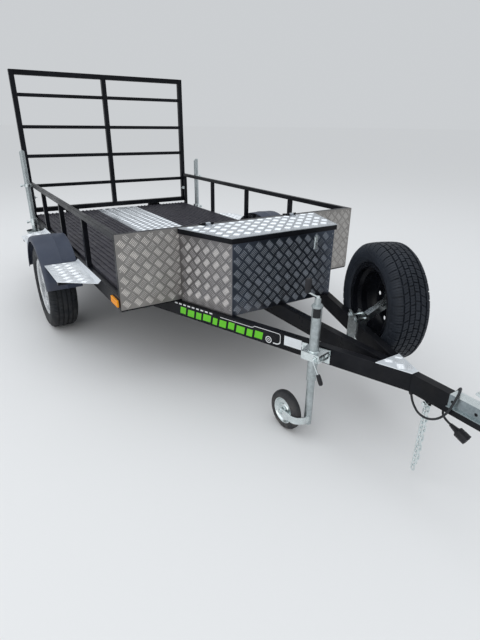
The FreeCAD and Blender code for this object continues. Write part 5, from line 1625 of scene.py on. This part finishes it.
# %% [markdown]
# The strip on the beam is a row of ten plain slanted blocks of different widths, in two heights.
# They could be a picture on the beam, which would need an unwrapped surface; an outline that is
# pushed out from the paint by the film's thickness needs none.

# %% Green film blocks
green = Shells()
y = 0.300
block_slant, block_gap = 0.006, 0.014
for number, wide in enumerate((0.046, 0.034, 0.050, 0.038, 0.044, 0.030, 0.052, 0.036, 0.046, 0.040)):
    low, high = (0.388, 0.426) if number % 3 else (0.392, 0.430)
    outline = [(beam_face, y, low), (beam_face, y + wide, low), (beam_face, y + wide - block_slant, high),
               (beam_face, y - block_slant, high)]
    green.pushed(outline, (-film, 0, 0), clamp_frame)
    y += wide + block_gap
green.piece("green_film_blocks", "chassis", "black_paint", decal_green)
print("blocks end at", round(y, 3), "m along the beam")

# %% [markdown]
# A thin white line runs over the blocks, turns down with a rounded corner and ends in a ring;
# small dashes go on beyond it. Each is a ribbon along a path of points on the beam's face.

# %% White line, ring and dashes
white = Shells()
line_end, corner_round = 0.197, 0.012
ring_y, ring_z = 0.262, 0.4040
dash_first, dash_pitch, dash_count = 0.612, 0.031, 9
corner = [(line_end + corner_round * (1 - math.cos(a)), 0.438 + corner_round * math.sin(a)) for a in
          [math.pi / 2 * k / 6 for k in range(7)]]
ribbon(white, [(0.560, 0.440), (0.362, 0.440), (0.352, 0.4435), (0.346, 0.450)] + list(reversed(corner))
       + [(line_end, 0.410)], 0.0030)
ribbon(white, [(line_end, 0.411), (0.199, 0.403), (0.206, 0.397), (0.216, 0.394), (0.236, 0.3935)], 0.0055)
for radius, steps, width in ((0.0150, 32, 0.0046), (0.0055, 20, 0.0030)):
    ribbon(white, [(ring_y + radius * math.cos(2 * math.pi * k / steps),
                    ring_z + radius * math.sin(2 * math.pi * k / steps)) for k in range(steps + 1)], width)
for number in range(dash_count):
    start = dash_first + dash_pitch * number
    ribbon(white, [(start, 0.4445), (start + 0.019, 0.4445)], 0.0075)
white.piece("white_film_line", "chassis", "black_paint", decal_white)
print("white film points", len(white.points))

# %% [markdown]
# The data plate is a small blank aluminium sheet, held on the beam by four rivets.
# A flat block and four turned domes are enough, and the lighter bars' metal, which holds painted highlight,
# serves as its finish.

# %% Blank data plate
data_plate_face = 0.0433
plate = Shells()
plate.block((data_plate_face, 0.0830, 0.4030), (beam_face, 0.1750, 0.4510), clamp_frame)
for y in (0.0870, 0.1710):
    for z in (0.4075, 0.4465):
        plate.solid_turned([(0.0, 0.0024), (0.0006, 0.0022), (0.0010, 0.0008)], 12,
                           clamp_frame @ along_x((data_plate_face, y, z), (-1, 0, 0)))
plate.piece("blank_data_plate", "chassis", "alloy", bars_painted_lit)
print("data plate points", len(plate.points))

# %% [markdown]
# A dark label is wrapped a quarter round the outer tube. It is a thin curved sheet that follows the
# tube's radius, so it casts the fine edge that a sticker has.

# %% Dark label on the jockey wheel's tube
label_low, label_high, label_steps = 0.608, 0.649, 17
label = Shells()
rows = []
for k in range(label_steps):
    a = math.radians(-133.0 - 48.0 + 6.0 * k)
    c, s = math.cos(a), math.sin(a)
    under, over = outer_radius, outer_radius + film
    rows.append([(under * c, under * s, label_low), (over * c, over * s, label_low),
                 (over * c, over * s, label_high), (under * c, under * s, label_high)])
label.grid(rows, Matrix.Translation((jockey_x, jockey_y, 0)), join_rows=False)
label.faces += [(0, 1, 2, 3), tuple(len(label.points) - n for n in (1, 2, 3, 4))]
label.piece("jockey_tube_label", "chassis", "plug_plastic", black_plastic)
print("label is", round(label_high - label_low, 3), "m high")

# %% [markdown]
# Bolt heads, nuts and washers stand where the packed model has plain rods: on the coupling
# and on the spare wheel's bracket and dish. Real ones are forged hexagons, so the move that makes
# the wheel bolts makes these too.

# %% Nuts and bolts
shells = Shells()
shells.hexagon((0, -2.0215, 0.4700), (0, 0, 1), 0.0170, 0.0050)
shells.piece("coupling_bolt_heads", "chassis", "zinc_steel", zinc_bright_painted_lit)

spare_standoff, spare_height = 0.098, 0.550
bracket_frame = spare_frame @ Matrix.Translation((-spare_standoff, 0, -spare_height))
shells = Shells()
for y in (-0.030, 0.030):
    for z in (0.4775, 0.3525):
        for x, way in ((0.0080, 1), (-0.0480, -1)):
            shells.hexagon(bracket_frame @ Vector((x, y, z)), bracket_frame.to_3x3() @ Vector((way, 0, 0)),
                           0.0190, 0.0090, 0.0150)
stud_circle = 0.047
for k in range(4):
    a = math.pi / 4 + math.pi / 2 * k
    place = spare_frame @ Vector((0.0452, stud_circle * math.sin(a), stud_circle * math.cos(a)))
    shells.hexagon(place, spare_frame.to_3x3() @ Vector((1, 0, 0)), 0.0190, 0.0140, 0.0135)
shells.piece("spare_bracket_nuts", "chassis", "zinc_steel", zinc_dull)
print("bracket nut points", len(shells.points))

# %% [markdown]
# The rear stands are thin galvanised tubes cut off at a slant, with a pressed round foot like a saucer.
# The tube's top ring follows the slant, and the foot is turned from the profile of a thin pressing.

# %% Rear stands
def stand_mesh(node):
    low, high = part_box(node)
    x, y = (low.x + high.x) / 2, (low.y + high.y) / 2
    tube, wall, bottom, top = 0.021, 0.0028, low.z, high.z
    steps, rows = 48, []
    seat = bottom + 0.004
    for radius, level in ((tube - wall, seat), (tube, seat), (tube, None), (tube - wall, None)):
        row = []
        for k in range(steps):
            a = 2 * math.pi * k / steps
            px, py = radius * math.cos(a), radius * math.sin(a)
            row.append((x + px, y + py, level if level is not None else top - (py + tube) * 0.975))
        rows.append(row)
    shells = Shells()
    shells.grid(rows)
    foot = [(0.0, 0.001), (0.0, 0.050), (0.0012, 0.060), (0.0050, 0.0665), (0.0170, 0.0700),
            (0.0230, 0.0712), (0.0240, 0.0720), (0.0236, 0.0700), (0.0175, 0.0680), (0.0062, 0.0645),
            (0.0036, 0.0585), (0.0028, 0.049), (0.0028, 0.0290), (0.0060, 0.0240), (0.0120, 0.0218),
            (0.0120, 0.0190), (0.0040, 0.0185), (0.0028, 0.001)]
    shells.turned(foot, 64, along_x((x, y, bottom), (0, 0, 1)))
    return shells.mesh(node + "_tube", 40.0)


for hand in ("left", "right"):
    node = "rear_stand_" + hand
    add_piece(node + "_tube", stand_mesh(node), home[node], slot_of[node], zinc_dull, node)
print("stands ride on", home["rear_stand_left"], "and", home["rear_stand_right"])

# %% [markdown]
# The lamps are moulded lenses on black bases. The rear ones have a red, an amber and a clear field;
# the side markers are small amber blocks with fine ribs.

# %% Lamps
lamp_low, lamp_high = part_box("rear_lamps")
marker_low, marker_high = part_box("side_markers")
bases, red, amber, pale, markers = (Shells() for _ in range(5))
for side in (-1, 1):
    x0, x1 = sorted((side * lamp_high.x, side * (lamp_high.x - 0.225)))
    bases.block((x0, lamp_low.y, lamp_low.z), (x1, lamp_low.y + 0.014, lamp_high.z))
    for shells, near, far in ((amber, 0.004, 0.072), (red, 0.074, 0.168), (pale, 0.170, 0.221)):
        u0, u1 = sorted((side * (lamp_high.x - near), side * (lamp_high.x - far)))
        shells.block((u0, lamp_low.y + 0.012, lamp_low.z + 0.004), (u1, lamp_high.y, lamp_high.z - 0.004))
    m0, m1 = sorted((side * (marker_high.x - 0.014), side * (marker_high.x - 0.010)))
    bases.block((m0, marker_low.y, marker_low.z), (m1, marker_high.y, marker_high.z))
    n0, n1 = sorted((side * (marker_high.x - 0.011), side * (marker_high.x - 0.001)))
    markers.block((n0, marker_low.y + 0.003, marker_low.z + 0.003),
                  (n1, marker_high.y - 0.003, marker_high.z - 0.003))
    r0, r1 = sorted((side * (marker_high.x - 0.002), side * marker_high.x))
    for k in range(9):
        y0 = marker_low.y + 0.010 + 0.0105 * k
        markers.block((r0, y0, marker_low.z + 0.006), (r1, y0 + 0.005, marker_high.z - 0.006))
rounded(bases.piece("lamp_bases", "chassis", "plug_plastic", black_plastic), 0.0015)
rounded(red.piece("rear_lens_red", "chassis", "red_lens", red_lens, "rear_lamps"), 0.004, 3)
rounded(amber.piece("rear_lens_amber", "chassis", "amber_lens", amber_lens), 0.004, 3)
rounded(pale.piece("rear_lens_clear", "chassis", "red_lens", clear_lens), 0.004, 3)
rounded(markers.piece("marker_lenses", "chassis", "amber_lens", amber_lens, "side_markers"), 0.0014, 2)
print("rear lamps are", round(lamp_high.z - lamp_low.z, 3), "m high")

# %% [markdown]
# The studio is a pale floor under a plain background, lit by an even sky-like world
# and large soft lamps, so that the paint shows long soft highlights as under an overcast sky.

# %% Floor
floor_material = finish("studio_floor", (0.80, 0.80, 0.80), 0.95, Specular_IOR_Level=0.0)[0]
floor_size = 200.0
floor_mesh = mesh_from("studio_floor", [(-floor_size, -floor_size, 0), (floor_size, -floor_size, 0),
                                        (floor_size, floor_size, 0), (-floor_size, floor_size, 0)],
                       [(0, 1, 2, 3)])
floor_mesh.materials.append(floor_material)
floor = bpy.data.objects.new("studio_floor", floor_mesh)
bpy.context.scene.collection.objects.link(floor)
print("floor", 2 * floor_size, "m wide")

# %% [markdown]
# The camera and mirrors see a plain grey backdrop, while all other light comes from a pale sky.
# A mix by the kind of ray keeps the two apart, so the background can be dark without dimming the
# trailer.

# %% World
world = bpy.data.worlds.new("studio_sky")
world.use_nodes = True
bpy.context.scene.world = world
sky = world.node_tree
sky_light = sky.nodes["Background"]
sky_light.inputs["Color"].default_value = (0.94, 0.97, 1.0, 1.0)
sky_light.inputs["Strength"].default_value = 0.78
backdrop = add_node(sky, "ShaderNodeBackground")
backdrop.inputs["Color"].default_value = (0.60, 0.62, 0.64, 1.0)
paths = sky.nodes.new("ShaderNodeLightPath")
clear = add_node(sky, "ShaderNodeMath", [(paths.outputs["Is Camera Ray"], 0),
                                         (paths.outputs["Is Glossy Ray"], 1)], operation="MAXIMUM")
clear = add_node(sky, "ShaderNodeMath", [(clear.outputs[0], 0), (paths.outputs["Is Transmission Ray"], 1)],
                 operation="MAXIMUM")
seen = add_node(sky, "ShaderNodeMixShader", [(clear.outputs[0], 0)])
sky.links.new(sky_light.outputs[0], seen.inputs[1])
sky.links.new(backdrop.outputs[0], seen.inputs[2])
sky.links.new(seen.outputs[0], sky.nodes["World Output"].inputs["Surface"])
print("sky strength", round(sky_light.inputs["Strength"].default_value, 2))

# %% [markdown]
# Two large panels stand for the brightest parts of an overcast sky: one above, one beyond the
# camera's side. Large lamps give soft shadows and long highlights along the tubes.

# %% Soft lamps
def lamp(name, place, target, size, power, colour):
    data = bpy.data.lights.new(name, "AREA")
    data.shape = "RECTANGLE"
    data.size, data.size_y = size
    data.energy = power
    data.color = colour
    light = bpy.data.objects.new(name, data)
    bpy.context.scene.collection.objects.link(light)
    way = Vector(target) - Vector(place)
    light.matrix_world = Matrix.Translation(place) @ way.to_track_quat("-Z", "Y").to_matrix().to_4x4()


lamp("sky_panel", (-1.0, 0.5, 6.0), (0.0, 0.2, 0.4), (8.0, 9.0), 150.0, (0.92, 0.96, 1.0))
lamp("side_panel", (-6.0, -4.0, 3.6), (0.0, 0.0, 0.4), (4.5, 4.5), 70.0, (1.0, 0.98, 0.95))

bpy.context.scene.view_settings.view_transform = "Standard"
print("lamps", [light.name for light in bpy.data.lights])

# %% [markdown]
